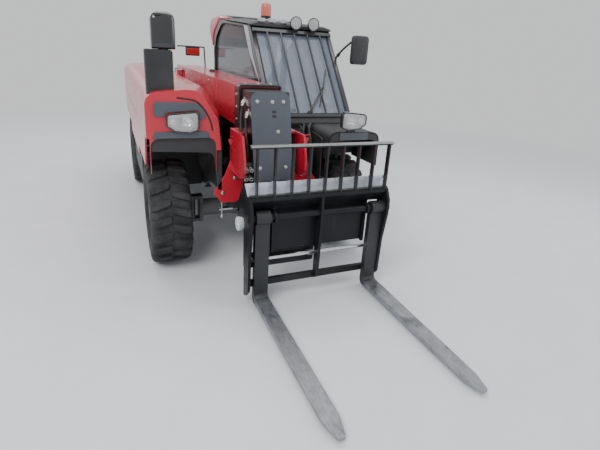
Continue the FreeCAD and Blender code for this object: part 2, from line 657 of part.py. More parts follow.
def coupler():
    plate = box(-400, 180, -1232, -1212, 250, 740).cut(box(BOOM_X - 40, BOOM_X + 40, -1240, -1200, 560, 760))
    parts = [plate]
    for x0 in (BOOM_X - CHEEK_X - CHEEK_T - 30, BOOM_X + CHEEK_X + CHEEK_T + 5):
        ear = [(-1220, 250, 0), (-1220, 420, 0), (-1130, 380, 40), (-1100, 330, 40), (-1130, 275, 40)]
        parts.append(plate_x(ear, x0, x0 + 25))
    parts.append(rod((BOOM_X - CHEEK_X - CHEEK_T - 30, TILT_Y, TILT_Z), (BOOM_X + CHEEK_X + CHEEK_T + 30, TILT_Y, TILT_Z), 25))
    for x0 in (-300.0, 120.0):
        parts.append(pipe((x0, SHIFT_Y, SHIFT_Z), (x0 + 40, SHIFT_Y, SHIFT_Z), 20, SHIFT_R + SEAT))
        parts.append(box(x0, x0 + 40, -1244, -1232, SHIFT_Z - 15, SHIFT_Z + 15))
    for dx in (-60, 40):
        ear = [(-1215, 590, 0), (-1215, 735, 0), (-1165, 700, 30), (-1140, 660, 30), (-1165, 620, 30)]
        parts.append(plate_x(ear, BOOM_X + dx, BOOM_X + dx + 20))
    return fuse(parts)


def fork_frame():
    beam = [(-1345, 800), (-1345, 775), (-1285, 700), (-1255, 700), (-1255, 800)]
    parts = [plate_x(beam, FRAME_X0, FRAME_X1)]
    parts.append(box(FRAME_X0, FRAME_X1, -1285, -1255, FRAME_BOTTOM, FRAME_BOTTOM + 45))
    side = [(-1275, 60, 15), (-1345, 130, 40), (-1352, 400, 60), (-1385, 620, 40), (-1385, 720, 30), (-1345, 800, 0), (-1245, 800, 0), (-1245, 60, 10)]
    for x0 in (FRAME_X0, FRAME_X1 - 20):
        parts.append(plate_x(side, x0, x0 + 20))
    mid = [(-1285, FRAME_BOTTOM, 0), (-1340, FRAME_BOTTOM + 30, 30), (-1360, 640, 40), (-1345, 790, 0), (-1285, 790, 0)]
    centre = (FRAME_X0 + FRAME_X1) / 2
    parts.append(plate_x(mid, centre - 10, centre + 10))
    parts.append(rod((FRAME_X0, SHAFT_Y, SHAFT_Z), (FRAME_X1, SHAFT_Y, SHAFT_Z), SHAFT_R))
    parts.append(box(-170, 560, -1270, -1262, 390, 710))
    for x in (-170, centre - 10, 540):
        parts.append(box(x, x + 20, -1290, -1262, 380, 710))
    body = fuse(parts)
    return body.cut(rod((FRAME_X0 + 20, SHIFT_Y, SHIFT_Z), (FRAME_X1 - 20, SHIFT_Y, SHIFT_Z), SHIFT_R))


def shelf():
    pts = [(-1310, 800), (-1310, 808), (-1239, 870), (-1234, 864), (-1307, 800)]
    return plate_x(pts, FRAME_X0, FRAME_X1)


def guard():
    back, front = -1310.0, -1345.0
    parts = [box(FRAME_X0 + 10, FRAME_X1, front + 10, back - 5, GUARD_TOP - 22, GUARD_TOP)]
    parts.append(box(FRAME_X0 + 10, FRAME_X1, front + 10, back, 800, 812))
    for i in range(9):
        x = GUARD_X0 + i * GUARD_PITCH
        parts.append(box(x - 6, x + 6, front, back, 800, GUARD_TOP - 10))
    return fuse(parts)


def fork(x):
    tip = FORK_FACE_Y - FORK_LENGTH
    back = FORK_FACE_Y + FORK_T
    side = [(back, FORK_Z, 40), (back, 640, 0), (FORK_FACE_Y, 640, 0), (FORK_FACE_Y, FORK_Z + FORK_T, 30), (tip, FORK_Z + 14, 0), (tip, FORK_Z, 0)]
    body = plate_x(side, x - FORK_W / 2, x + FORK_W / 2)
    h = FORK_W / 2
    plan = [(x - h, -1200, 0), (x - h, tip + 120, 30), (x - 22, tip, 15), (x + 22, tip, 15), (x + h, tip + 120, 30), (x + h, -1200, 0)]
    body = body.common(plate_z(plan, 0, 1000))
    eye = rod((x - h, SHAFT_Y, SHAFT_Z), (x + h, SHAFT_Y, SHAFT_Z), 46)
    body = body.fuse(eye)
    return body.cut(rod((x - h - 5, SHAFT_Y, SHAFT_Z), (x + h + 5, SHAFT_Y, SHAFT_Z), SHAFT_R)).removeSplitter()


def shift_rod():
    return rod((FRAME_X0 + 20, SHIFT_Y, SHIFT_Z), (FRAME_X1 - 20, SHIFT_Y, SHIFT_Z), SHIFT_R)


# Lamps, mirrors and small equipment


def bent_tube(points, r):
    parts = []
    for a, b in zip(points[:-1], points[1:]):
        parts.append(rod(a, b, r))
    for p in points[1:-1]:
        parts.append(Part.makeSphere(r, vec(*p)))
    return fuse(parts)


def mirror_right():
    post = box(-870, -715, -780, -690, 1300, 1650)
    pts = [(-835, 1650, 0), (-835, 1872, 50), (-690, 1872, 50), (-690, 1650, 0)]
    skin = loft_y([(HOOD_FRONT_Y, hood_corners(1.0)), (-520.0, hood_corners(0.0))])
    return fuse([post.cut(skin), plate_y(pts, -790, -690)])


def mirror_left():
    arm = bent_tube([(890, 30, 1640), (900, -250, 1800), (880, -425, 1790)], 10)
    head = box(790, 945, -470, -420, 1610, 1840)
    return arm.fuse(head).removeSplitter()


def beacon():
    base = rod((325, 440, ROOF_Z), (325, 440, ROOF_Z + 60), 45)
    dome = rod((325, 440, ROOF_Z + 60), (325, 440, ROOF_Z + 185), 52)
    return base.fuse(dome).removeSplitter()


def work_lamps():
    return Part.makeCompound([rod((x, 110, 1928), (x, 165, 1928), 58) for x in (507, 682)])


def rear_lamp():
    skin = loft_y([(1300.0, hood_corners(0.0, 25.0)), (2470.0, hood_corners(0.0, 10.0))])
    stem = rod((-372, 2200, 1150), (-372, 2200, 1600), 10).cut(skin)
    lamp = box(-417, -327, 2170, 2230, 1600, 1680)
    return stem.fuse(lamp).removeSplitter()


def main():
    os.makedirs("parts", exist_ok=True)
    wheels()
    running_gear()
    put("chassis_rails", *chassis_rails())
    put("chassis_plates", chassis_plates(), *front_plates())
    put("boom_tower", boom_tower())
    put("outriggers", *outriggers())
    put("engine_block", engine_block())
    put("fuel_tank", fuel_tank())
    put("counterweight", counterweight())
    put("fender_front_right", fender_front_right())
    put("fender_front_left", fender_front_left())
    put("fender_rear_left", fender_rear_left())
    put("bonnet", bonnet())
    put("side_panel_right", side_panel_right())
    put("lamp_panels", lamp_panel(-1), lamp_panel(1))
    put("headlights", headlight_solid(), mirror_x(headlight_solid()))
    put("cab_frame", cab_frame())
    put("cab_roof", cab_roof())
    put("cab_glass", windscreen(), rear_glass(), side_glass())
    put("screen_guard", screen_guard())
    put("cab_door", cab_door())
    put("door_glass", door_glass())
    put("seat", seat())
    put("controls", controls())
    put("boom_outer", boom_outer())
    put("boom_inner", boom_inner())
    put("boom_head", boom_head())
    put("head_plates", head_plate(-1), head_plate(1))
    put("head_cover", head_cover())
    barrel, stem = ram(LIFT_BASE, LIFT_EYE, 55, 32, 42, 22, 1150, 55, 62, 100)
    put("lift_barrel", barrel)
    put("lift_rod", stem)
    barrel, stem = ram(TILT_BASE, TILT_EYE, 48, 25, 34, 20, 630, 50, 115, 70)
    put("tilt_barrel", barrel)
    put("tilt_rod", stem)
    put("coupler", coupler())
    put("fork_frame", fork_frame())
    put("shelf", shelf())
    put("guard", guard())
    put("shift_rod", shift_rod())
    put("forks", *[fork(x) for x in FORK_XS])
    put("mirrors", mirror_right(), mirror_left())
    put("beacon", beacon())
    put("work_lamps", work_lamps())
    put("rear_lamp", rear_lamp())


main()
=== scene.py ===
import math

import bmesh
import bpy
from mathutils import Matrix, Vector


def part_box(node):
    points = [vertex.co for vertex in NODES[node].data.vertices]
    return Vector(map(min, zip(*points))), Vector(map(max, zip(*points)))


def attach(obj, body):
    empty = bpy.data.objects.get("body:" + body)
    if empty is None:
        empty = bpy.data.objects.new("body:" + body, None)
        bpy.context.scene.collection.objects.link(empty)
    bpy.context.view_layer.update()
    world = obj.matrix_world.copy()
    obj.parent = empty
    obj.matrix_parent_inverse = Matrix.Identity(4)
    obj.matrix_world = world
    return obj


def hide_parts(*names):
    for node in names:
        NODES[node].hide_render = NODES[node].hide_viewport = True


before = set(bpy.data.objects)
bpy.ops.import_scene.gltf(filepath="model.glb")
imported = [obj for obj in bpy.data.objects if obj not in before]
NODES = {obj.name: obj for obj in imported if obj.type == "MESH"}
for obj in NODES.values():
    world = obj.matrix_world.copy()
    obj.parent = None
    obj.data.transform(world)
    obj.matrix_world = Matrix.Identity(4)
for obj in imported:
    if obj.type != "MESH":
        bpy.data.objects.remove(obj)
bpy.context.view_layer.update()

# Main places of the machine in its own frame, in metres

BOOM_X = -0.11                              # middle of the boom
BOOM_SIDES = (-0.267, 0.047)                # its front end's side faces
BOOM_HEIGHT = (1.133, 1.447)                # and its lower and upper face
PIVOT_Y, PIVOT_Z = 2.165, 1.29              # the boom's rear pivot
AXLE_Y = {"front": -0.385, "rear": 1.915}
WHEEL_X, WHEEL_Z = 0.75, 0.415              # middle of a wheel
NOSE_Y = -0.835                             # front face of the bodywork
PLATE_Y = (-0.844, NOSE_Y)                  # the slate plates on it
CAB_X = (0.092, 0.88)                       # outer faces of the cab's sides
WALL = 0.04                                 # thickness of the cab's sides
SCREEN_X = (0.133, 0.839)                   # the windscreen between them
ROOF_X = (0.08, 0.888)
SEAT_X = 0.485
COUPLER_Y = (-1.232, -1.212)
SHAFT_Y, SHAFT_Z = -1.32, 0.655             # the shaft that the forks hang on
REAR_Y = 2.535

# Camera, fitted to the photograph in the machine's own frame

YAW, PITCH, ROLL = 0.419, 0.346, 0.061
EYE = (-1.097, -3.786, 1.688)
LENS, SHIFT = 25.68, (0.0026, -0.0317)


def camera():
    look = Vector((math.sin(YAW) * math.cos(PITCH), math.cos(YAW) * math.cos(PITCH), -math.sin(PITCH)))
    level = Vector((math.cos(YAW), -math.sin(YAW), 0.0))
    upright = level.cross(look)
    right = level * math.cos(ROLL) + upright * math.sin(ROLL)
    up = upright * math.cos(ROLL) - level * math.sin(ROLL)
    data = bpy.data.cameras.new("camera")
    data.lens = LENS
    data.sensor_width = 36.0
    data.shift_x, data.shift_y = SHIFT
    data.clip_end = 200.0
    cam = bpy.data.objects.new("camera", data)
    cam.matrix_world = Matrix.Translation(EYE) @ Matrix((right, up, -look)).transposed().to_4x4()
    bpy.context.collection.objects.link(cam)
    bpy.context.scene.camera = cam


# Materials


def add(m, kind, inputs=None, **props):
    """New shader node; its inputs take plain values or other nodes' outputs."""
    n = m.node_tree.nodes.new("ShaderNode" + kind)
    for key, value in props.items():
        setattr(n, key, value)
    for key, value in (inputs or {}).items():
        if isinstance(value, bpy.types.NodeSocket):
            m.node_tree.links.new(value, n.inputs[key])
        else:
            n.inputs[key].default_value = value
    return n


def plain(name, **sockets):
    m = bpy.data.materials.new(name)
    m.use_nodes = True
    p = m.node_tree.nodes["Principled BSDF"]
    for key, value in sockets.items():
        p.inputs[key.replace("_", " ")].default_value = value
    return m, p


def drive(m, p, **sockets):
    """Links the shader's sockets to the given outputs."""
    for key, value in sockets.items():
        m.node_tree.links.new(value, p.inputs[key.replace("_", " ")])


def rgb(c, k=1.0):
    return (c[0] * k, c[1] * k, c[2] * k, 1.0)


def noise(m, scale, detail=4.0, rough=0.55, stretch=None):
    at = add(m, "TexCoord").outputs["Object"]
    if stretch:
        at = add(m, "Mapping", {"Vector": at, "Scale": stretch}).outputs["Vector"]
    return add(m, "TexNoise", {"Vector": at, "Scale": scale, "Detail": detail, "Roughness": rough}).outputs["Fac"]


def span(m, value, low, high, to_low=0.0, to_high=1.0):
    return add(m, "MapRange", {"Value": value, "From Min": low, "From Max": high, "To Min": to_low,
                               "To Max": to_high}).outputs["Result"]


def mixed(m, factor, a, b):
    return add(m, "Mix", {0: factor, 6: a, 7: b}, data_type="RGBA").outputs[2]


def maths(m, operation, a, b):
    return add(m, "Math", {0: a, 1: b}, operation=operation).outputs[0]


def cells(m, scale):
    at = add(m, "TexCoord").outputs["Object"]
    return add(m, "TexVoronoi", {"Vector": at, "Scale": scale}).outputs["Distance"]


def bumped(m, p, height, distance):
    drive(m, p, Normal=add(m, "Bump", {"Height": height, "Distance": distance, "Strength": 1.0}).outputs["Normal"])


DUST = (0.33, 0.30, 0.26)


def dusted(m, colour, amount, top):
    """Colour with road dust that thickens towards the ground and on faces that look up."""
    split = add(m, "SeparateXYZ", {"Vector": add(m, "TexCoord").outputs["Object"]})
    low = span(m, split.outputs["Z"], top, 0.0)
    blotch = span(m, noise(m, 5.0, 8.0, 0.65), 0.35, 0.75)
    level = add(m, "SeparateXYZ", {"Vector": add(m, "NewGeometry").outputs["Normal"]})
    upward = span(m, level.outputs["Z"], 0.3, 1.0, 0.25, 1.0)
    f = maths(m, "MULTIPLY", maths(m, "MULTIPLY", low, blotch), maths(m, "MULTIPLY", upward, amount))
    return mixed(m, f, colour, rgb(DUST))


def paint(name, colour, rough=0.3, coat=0.0, vary=0.12, dust=0.3, top=1.0, peel=0.00006, metal=0.0, grain=260.0,
          shine=0.5):
    """Painted surface: soft colour drift, streaks, orange peel and dust."""
    m, p = plain(name, Metallic=metal, Coat_Weight=coat, Coat_Roughness=0.12, Specular_IOR_Level=shine)
    drift = mixed(m, span(m, noise(m, 2.6, 5.0), 0.3, 0.7), rgb(colour, 1.0 - vary), rgb(colour, 1.0 + vary))
    streak = span(m, noise(m, 9.0, 6.0, 0.6, (1.0, 1.0, 0.18)), 0.56, 0.78, 0.0, 0.35)
    worn = mixed(m, streak, drift, rgb([c * 0.55 + 0.04 for c in colour]))
    gloss = span(m, noise(m, 7.0, 7.0, 0.65), 0.3, 0.75, max(0.03, rough - 0.09), rough + 0.14)
    drive(m, p, Base_Color=dusted(m, worn, dust, top), Roughness=gloss)
    bumped(m, p, noise(m, grain, 3.0), peel)
    return m


def bare_metal(name, colour, rough, stretch, stain, stained=0.35, depth=0.00015):
    """Worn metal with drawn scratches, darker scale and a little rust."""
    m, p = plain(name, Metallic=1.0)
    scratch = noise(m, 9.0, 8.0, 0.7, stretch)
    blotch = noise(m, 5.0, 8.0, 0.62)
    bright = mixed(m, span(m, scratch, 0.35, 0.7), rgb(colour, 0.72), rgb(colour, 1.15))
    drive(m, p, Base_Color=mixed(m, span(m, blotch, 0.55, 0.75, 0.0, stained), bright, rgb(stain)),
          Roughness=span(m, maths(m, "ADD", scratch, blotch), 0.7, 1.3, max(0.05, rough - 0.12), rough + 0.22))
    bumped(m, p, scratch, depth)
    return m


def rubber(name, colour=(0.022, 0.023, 0.025), dust=0.75, rough=0.78):
    m, p = plain(name, Specular_IOR_Level=0.35)
    fine = noise(m, 60.0, 8.0, 0.7)
    coarse = noise(m, 6.0, 6.0, 0.6)
    base = mixed(m, span(m, coarse, 0.3, 0.75), rgb(colour, 0.7), rgb(colour, 1.7))
    chalk = span(m, maths(m, "MULTIPLY", fine, coarse), 0.18, 0.42, 0.0, dust * 0.35)
    drive(m, p, Base_Color=mixed(m, chalk, base, rgb((0.2, 0.19, 0.175))),
          Roughness=span(m, fine, 0.3, 0.7, rough - 0.12, rough + 0.15))
    bumped(m, p, maths(m, "ADD", fine, noise(m, 380.0, 2.0)), 0.0009)
    return m


def plastic(name, colour=(0.03, 0.031, 0.033), rough=0.5, grain=700.0, depth=0.00025, dust=0.25, top=1.6):
    """Moulded plastic with a fine leather grain."""
    m, p = plain(name, Specular_IOR_Level=0.4)
    drift = mixed(m, span(m, noise(m, 4.0, 6.0), 0.3, 0.7), rgb(colour, 0.8), rgb(colour, 1.35))
    drive(m, p, Base_Color=dusted(m, drift, dust, top),
          Roughness=span(m, noise(m, 12.0, 5.0), 0.3, 0.7, rough - 0.1, rough + 0.12))
    bumped(m, p, maths(m, "ADD", cells(m, grain), noise(m, 120.0, 3.0)), depth)
    return m


def clear(name, colour, alpha, rough=0.03, smear=0.05):
    """Thin glass that shows what is behind it, with faint wiping marks."""
    m, p = plain(name, IOR=1.5, Specular_IOR_Level=0.65)
    wipe = span(m, noise(m, 4.0, 6.0, 0.6, (1.0, 0.35, 0.6)), 0.45, 0.8)
    drive(m, p, Base_Color=mixed(m, wipe, rgb(colour), rgb([c * 0.6 + 0.2 for c in colour])),
          Alpha=span(m, wipe, 0.0, 1.0, alpha, alpha + smear), Roughness=span(m, wipe, 0.0, 1.0, rough, rough + 0.05))
    return m


def lens(name, colour, transmission=0.85, rough=0.08, ribs=130.0, depth=0.0012):
    """Moulded lamp lens with cast optics."""
    m, p = plain(name, Transmission_Weight=transmission, IOR=1.49)
    drive(m, p, Base_Color=mixed(m, span(m, noise(m, 14.0, 5.0), 0.3, 0.7), rgb(colour, 0.88), rgb(colour, 1.05)),
          Roughness=span(m, noise(m, 30.0, 4.0), 0.3, 0.7, rough * 0.6, rough * 1.8))
    bumped(m, p, cells(m, ribs), depth)
    return m


def cloth(name, colour, thread=150.0):
    """Woven seat cloth: two crossed threads with lint and sheen."""
    m, p = plain(name, Roughness=0.88, Sheen_Weight=0.35, Sheen_Roughness=0.45)
    at = add(m, "TexCoord").outputs["Object"]
    threads = {"Vector": at, "Scale": thread, "Distortion": 0.6}
    warp, weft = (add(m, "TexWave", threads, bands_direction=axis).outputs["Fac"] for axis in "XY")
    weave = maths(m, "MAXIMUM", warp, weft)
    drive(m, p, Base_Color=mixed(m, weave, rgb(colour, 0.55), rgb(colour, 1.3)))
    bumped(m, p, maths(m, "ADD", weave, span(m, noise(m, 25.0, 8.0, 0.7), 0.4, 0.8)), 0.0006)
    return m


def fork_finish():
    """Black paint on the shank that gives way to worn grey steel along the blade."""
    m, p = plain("fork_steel")
    split = add(m, "SeparateXYZ", {"Vector": add(m, "TexCoord").outputs["Object"]})
    scratch = noise(m, 9.0, 8.0, 0.7, (26.0, 1.2, 26.0))
    blotch = noise(m, 5.0, 8.0, 0.62)
    ragged = maths(m, "ADD", maths(m, "MULTIPLY", span(m, blotch, 0.3, 0.7), 0.16),
                   maths(m, "MULTIPLY", scratch, 0.08))
    front = span(m, maths(m, "ADD", split.outputs["Y"], ragged), -1.22, -1.34)
    lower = span(m, maths(m, "SUBTRACT", split.outputs["Z"], ragged), 0.03, -0.06)
    worn = maths(m, "MULTIPLY", front, lower)
    bright = mixed(m, span(m, scratch, 0.35, 0.7), (0.25, 0.255, 0.27, 1.0), (0.44, 0.45, 0.47, 1.0))
    steel = mixed(m, span(m, blotch, 0.52, 0.75, 0.0, 0.5), bright, (0.10, 0.08, 0.065, 1.0))
    black = mixed(m, span(m, scratch, 0.5, 0.8), (0.018, 0.019, 0.021, 1.0), (0.05, 0.05, 0.052, 1.0))
    drive(m, p, Base_Color=mixed(m, worn, black, steel), Metallic=maths(m, "MULTIPLY", worn, 0.85),
          Roughness=span(m, maths(m, "ADD", scratch, blotch), 0.7, 1.3, 0.32, 0.62))
    bumped(m, p, scratch, 0.00018)
    return m


# Paints: colour, roughness, coat, drift, dust, height of the dust and depth of the peel
M = {
    "red": paint("red_enamel", (0.52, 0.014, 0.032), 0.3, 0.55, 0.07, 0.22, 0.9),
    "black": paint("black_enamel", (0.021, 0.022, 0.024), 0.34, 0.25, 0.25, 0.45, 1.1, 0.00012),
    "cab": paint("cab_enamel", (0.028, 0.029, 0.031), 0.32, 0.35, 0.2, 0.3, 1.3, 0.00008),
    "slate": paint("slate_enamel", (0.070, 0.080, 0.098), 0.42, 0.1, 0.1, 0.3, 1.2, 0.00014, grain=340.0),
    # Silver is the roof rail plates' own colour, and painted light elsewhere: the sky reflection on the shelf and
    # pillar, and glints on the guard's post feet
    "silver_and_painted_reflection": paint("silver_enamel", (0.5, 0.53, 0.58), 0.32, 0.35, 0.14, 0.4, 1.2, 0.0001, 0.35),
    "rim": paint("rim_enamel", (0.42, 0.42, 0.41), 0.38, 0.2, 0.12, 0.8, 0.9, 0.00012),
    "carriage": paint("carriage_enamel", (0.008, 0.009, 0.011), 0.4, 0.05, 0.3, 0.3, 0.4, 0.0002, shine=0.25),
    "bars": paint("guard_enamel", (0.013, 0.014, 0.016), 0.3, 0.2, 0.3, 0.4, 1.2, 0.0001, shine=0.35),
    "gloss": paint("gloss_black", (0.018, 0.019, 0.021), 0.12, 0.6, 0.2, 0.2, 1.3, 0.00003),
    "white": paint("white_cap", (0.74, 0.76, 0.76), 0.4, 0.2, 0.1, 0.5, 1.0, 0.00008),
    "iron": paint("casting", (0.11, 0.11, 0.115), 0.62, 0.0, 0.3, 0.5, 1.0, 0.0008, 0.2, 90.0),
    "fork": fork_finish(),
    "plastic": plastic("moulded_black"),
    "roof": plastic("roof_black", (0.035, 0.036, 0.038), 0.42, 520.0, 0.0002, 0.2, 2.4),
    "trim": plastic("grey_trim", (0.12, 0.125, 0.13), 0.55, 600.0),
    "foam": plastic("grip_foam", (0.025, 0.025, 0.026), 0.7, 300.0, 0.0005),
    "chrome": bare_metal("chrome_rod", (0.78, 0.79, 0.81), 0.12, (2.0, 60.0, 60.0), (0.35, 0.35, 0.36), 0.15, 0.00002),
    "zinc": bare_metal("zinc_plate", (0.62, 0.62, 0.58), 0.3, (12.0, 12.0, 12.0), (0.42, 0.37, 0.22), 0.4),
    "bolt": bare_metal("bolt_steel", (0.45, 0.45, 0.46), 0.32, (30.0, 30.0, 30.0), (0.18, 0.12, 0.08), 0.35),
    "mirror": bare_metal("mirror_face", (0.86, 0.87, 0.88), 0.07, (3.0, 3.0, 3.0), (0.5, 0.52, 0.55), 0.2, 0.00001),
    "tyre": rubber("tyre_rubber"),
    "seal": rubber("seal_rubber", (0.014, 0.014, 0.015), 0.3, 0.62),
    "hose": rubber("hose_rubber", (0.02, 0.02, 0.021), 0.45, 0.55),
    "glass": clear("window_glass", (0.10, 0.14, 0.15), 0.30),
    "screen": clear("screen_glass", (0.19, 0.235, 0.30), 0.5),
    "lens": lens("clear_lens", (0.96, 0.965, 0.97), 0.66, 0.06),
    "amber": lens("amber_lens", (0.95, 0.25, 0.17), 0.45, 0.12, 60.0),
    "ruby": lens("red_lens", (0.75, 0.03, 0.03), 0.4, 0.12, 90.0),
    "cloth": cloth("seat_cloth", (0.045, 0.047, 0.052)),
}

# What each CAD node is finished with: material, and edge rounding in metres

FINISH = {
    "axles": ("iron", 0.004), "bonnet": ("red", 0.004), "boom_head": ("black", 0.003), "boom_inner": ("black", 0.002),
    "boom_outer": ("red", 0.006), "boom_tower": ("black", 0.003), "cab_door": ("cab", 0.004),
    "cab_floor": ("cab", 0.004), "chassis_plates": ("black", 0.003), "counterweight": ("black", 0.012),
    "door_glass": ("glass", 0.0015), "engine_block": ("iron", 0.01), "fender_front_right": ("red", 0.005),
    "fender_rear_left": ("red", 0.005), "fork_frame": ("carriage", 0.003), "forks": ("fork", 0.003),
    "fuel_tank": ("plastic", 0.008), "guard": ("bars", 0.0015), "head_cover": ("slate", 0.0025),
    "head_plates": ("red", 0.003), "lift_barrel": ("black", 0.003), "lift_rod": ("chrome", 0.002),
    # The shelf's pale bluish silver is partly a painted sky reflection on its top face
    "outriggers": ("black", 0.003), "screen_guard": ("cab", 0.0015), "shelf": ("silver_and_painted_reflection", 0.0015),
    "shift_rod": ("chrome", 0.001), "side_panel_right": ("red", 0.004), "tilt_barrel": ("black", 0.003),
    "tilt_rod": ("chrome", 0.002),
    # Replaced by the pieces below
    "beacon": ("amber", 0.003), "cab_frame": ("cab", 0.005), "cab_glass": ("screen", 0.001),
    "cab_roof": ("roof", 0.006), "chassis_rails": ("black", 0.003), "controls": ("plastic", 0.002),
    "coupler": ("carriage", 0.003), "fender_front_left": ("plastic", 0.006), "headlights": ("lens", 0.006),
    "lamp_panels": ("slate", 0.0025), "mirrors": ("plastic", 0.01), "rear_lamp": ("ruby", 0.005),
    "seat": ("cloth", 0.01), "work_lamps": ("plastic", 0.003),
}
for axle in ("front", "rear"):
    for side in ("left", "right"):
        for part, finish in (("tyre", ("tyre", 0.003)), ("rim", ("rim", 0.003)), ("knuckle", ("iron", 0.004))):
            FINISH[f"{part}_{axle}_{side}"] = finish


def soften(o, width, angle=32.0):
    """Rounded edges with even shading."""
    o.modifiers.new("weld", "WELD").merge_threshold = 0.00002
    b = o.modifiers.new("bevel", "BEVEL")
    b.width = width
    b.segments = 2
    b.limit_method = "ANGLE"
    b.angle_limit = math.radians(angle)
    b.harden_normals = False
    o.modifiers.new("normals", "WEIGHTED_NORMAL").keep_sharp = True


def finish_nodes():
    for name, o in NODES.items():
        key, width = FINISH[name]
        o.data.materials.clear()
        o.data.materials.append(M[key])
        soften(o, width)


# Mesh building

ALONG = {"x": lambda p, t: (t, p[0], p[1]), "y": lambda p, t: (p[0], t, p[1]), "z": lambda p, t: (p[0], p[1], t)}


def new_object(name, data):
    o = bpy.data.objects.new(name, data)
    bpy.context.collection.objects.link(o)
    return o


class Kit:
    """Collects small shapes into one mesh; done() makes the piece and starts the next one."""

    def __init__(self):
        self.bm = bmesh.new()

    def take(self, verts, faces, at=None):
        vs = [self.bm.verts.new(at @ Vector(v) if at else v) for v in verts]
        for f in faces:
            try:
                self.bm.faces.new([vs[i] for i in f])
            except ValueError:
                pass

    def loft(self, rings):
        """Closed body through rings with as many points each."""
        n = len(rings[0])
        verts = [v for ring in rings for v in ring]
        faces = [tuple(range(n)), tuple(range(len(verts) - 1, len(verts) - n - 1, -1))]
        for j in range(0, len(verts) - n, n):
            faces += [(j + i, j + (i + 1) % n, j + n + (i + 1) % n, j + n + i) for i in range(n)]
        self.take(verts, faces)

    def prism(self, points, axis, a, b, at=None):
        """Outline in the plane across an axis, drawn from a to b along it."""
        n = len(points)
        verts = [ALONG[axis](p, t) for t in (a, b) for p in points]
        faces = [tuple(range(n)), tuple(range(2 * n - 1, n - 1, -1))]
        faces += [(i, (i + 1) % n, n + (i + 1) % n, n + i) for i in range(n)]
        self.take(verts, faces, at)

    def pad(self, axis, low, high, a, b, r=0.0, steps=3):
        """Rectangle with rounded corners, drawn from a to b along the axis."""
        self.prism(slab(low, high, r, steps), axis, a, b)

    def box(self, low, high):
        self.pad("z", low[:2], high[:2], low[2], high[2])

    def lathe(self, profile, p, direction, n=24, cap=True):
        """profile is a list of (distance along the axis, radius), closed at its ends by cap."""
        z = Vector(direction).normalized()
        x = z.orthogonal().normalized()
        y = z.cross(x)
        p = Vector(p)
        if cap:
            first, last = ([(t, 0.0)] if r else [] for t, r in (profile[0], profile[-1]))
            profile = first + profile + last
        rings, verts = [], []
        for t, r in profile:
            if r < 1e-6:
                rings.append([len(verts)] * n)
                verts.append(p + z * t)
            else:
                rings.append(list(range(len(verts), len(verts) + n)))
                turns = [2 * math.pi * i / n for i in range(n)]
                verts += [p + z * t + (x * math.cos(a) + y * math.sin(a)) * r for a in turns]
        faces = []
        for r0, r1 in zip(rings[:-1], rings[1:]):
            for i in range(n):
                q = [r0[i], r0[(i + 1) % n], r1[(i + 1) % n], r1[i]]
                q = [v for k, v in enumerate(q) if v not in q[:k]]
                if len(q) > 2:
                    faces.append(tuple(q))
        self.take(verts, faces)

    def rod(self, p, q, r, n=20):
        p, q = Vector(p), Vector(q)
        self.lathe([(0, r), ((q - p).length, r)], p, q - p, n)

    def crowned(self, outline, levels):
        """Body from a flat (x, z) outline; levels are (y, scale about its middle)."""
        cx = sum(q[0] for q in outline) / len(outline)
        cz = sum(q[1] for q in outline) / len(outline)
        self.loft([[(cx + (x - cx) * f, y, cz + (z - cz) * f) for x, z in outline] for y, f in levels])

    def skinned(self, axis, outline, levels):
        """Body from an outline across an axis; levels are (place along it, offset of the outline)."""
        self.loft([[ALONG[axis](q, t) for q in offset(outline, d)] for t, d in levels])

    def ring(self, outline, y0, y1, grow, shrink):
        """Frame round a flat (x, z) outline, grow wide outside it and shrink inside."""
        out, inn = offset(outline, grow), offset(outline, -shrink)
        n = len(outline)
        verts = [(x, y, z) for loop, y in ((out, y0), (out, y1), (inn, y1), (inn, y0)) for x, z in loop]
        self.take(verts, [(j * n + i, j * n + (i + 1) % n, (j + 1) % 4 * n + (i + 1) % n, (j + 1) % 4 * n + i)
                          for j in range(4) for i in range(n)])

    def bolt(self, p, direction, r=0.012, tall=None, washer=True):
        """Hexagon head on a washer."""
        d = Vector(direction).normalized()
        p = Vector(p)
        t = tall or r * 0.75
        if washer:
            self.lathe([(0, r * 1.35), (r * 0.18, r * 1.35), (r * 0.24, r * 1.25)], p, d, 20)
            p = p + d * r * 0.24
        self.lathe([(0, r), (t * 0.85, r), (t, r * 0.86)], p, d, 6)

    def tube(self, points, r, n=10, smooth=6, closed=False):
        """Round bar through points, eased into curves."""
        path = ease([Vector(p) for p in points], smooth, closed)
        m = len(path)
        rings = []
        normal = None
        for i, p in enumerate(path):
            nxt = path[(i + 1) % m] if closed else path[min(i + 1, m - 1)]
            prv = path[i - 1] if closed or i else path[0]
            t = (nxt - prv).normalized()
            normal = t.orthogonal() if normal is None else normal - t * normal.dot(t)
            normal.normalize()
            side = t.cross(normal)
            turns = [2 * math.pi * k / n for k in range(n)]
            rings.append([self.bm.verts.new(p + (normal * math.cos(a) + side * math.sin(a)) * r) for a in turns])
        for a, b in zip(rings, rings[1:] + (rings[:1] if closed else [])):
            for k in range(n):
                self.bm.faces.new((a[k], a[(k + 1) % n], b[(k + 1) % n], b[k]))
        if not closed:
            self.bm.faces.new(rings[0][::-1])
            self.bm.faces.new(rings[-1])

    def done(self, name, material, bevel=0.0, body="chassis", instead=None, angle=32.0):
        """The piece: its edges are bevelled, or kept sharp beyond the angle; instead is the node it replaces."""
        bmesh.ops.recalc_face_normals(self.bm, faces=self.bm.faces)
        mesh = bpy.data.meshes.new(name)
        self.bm.to_mesh(mesh)
        self.bm.free()
        self.bm = bmesh.new()
        o = new_object(name, mesh)
        mesh.materials.append(M[material])
        mesh.shade_smooth()
        if bevel:
            soften(o, bevel, angle=angle)
        else:
            mesh.set_sharp_from_angle(angle=math.radians(angle))
        if body:
            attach(o, body)
        if instead:
            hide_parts(instead)
        return o


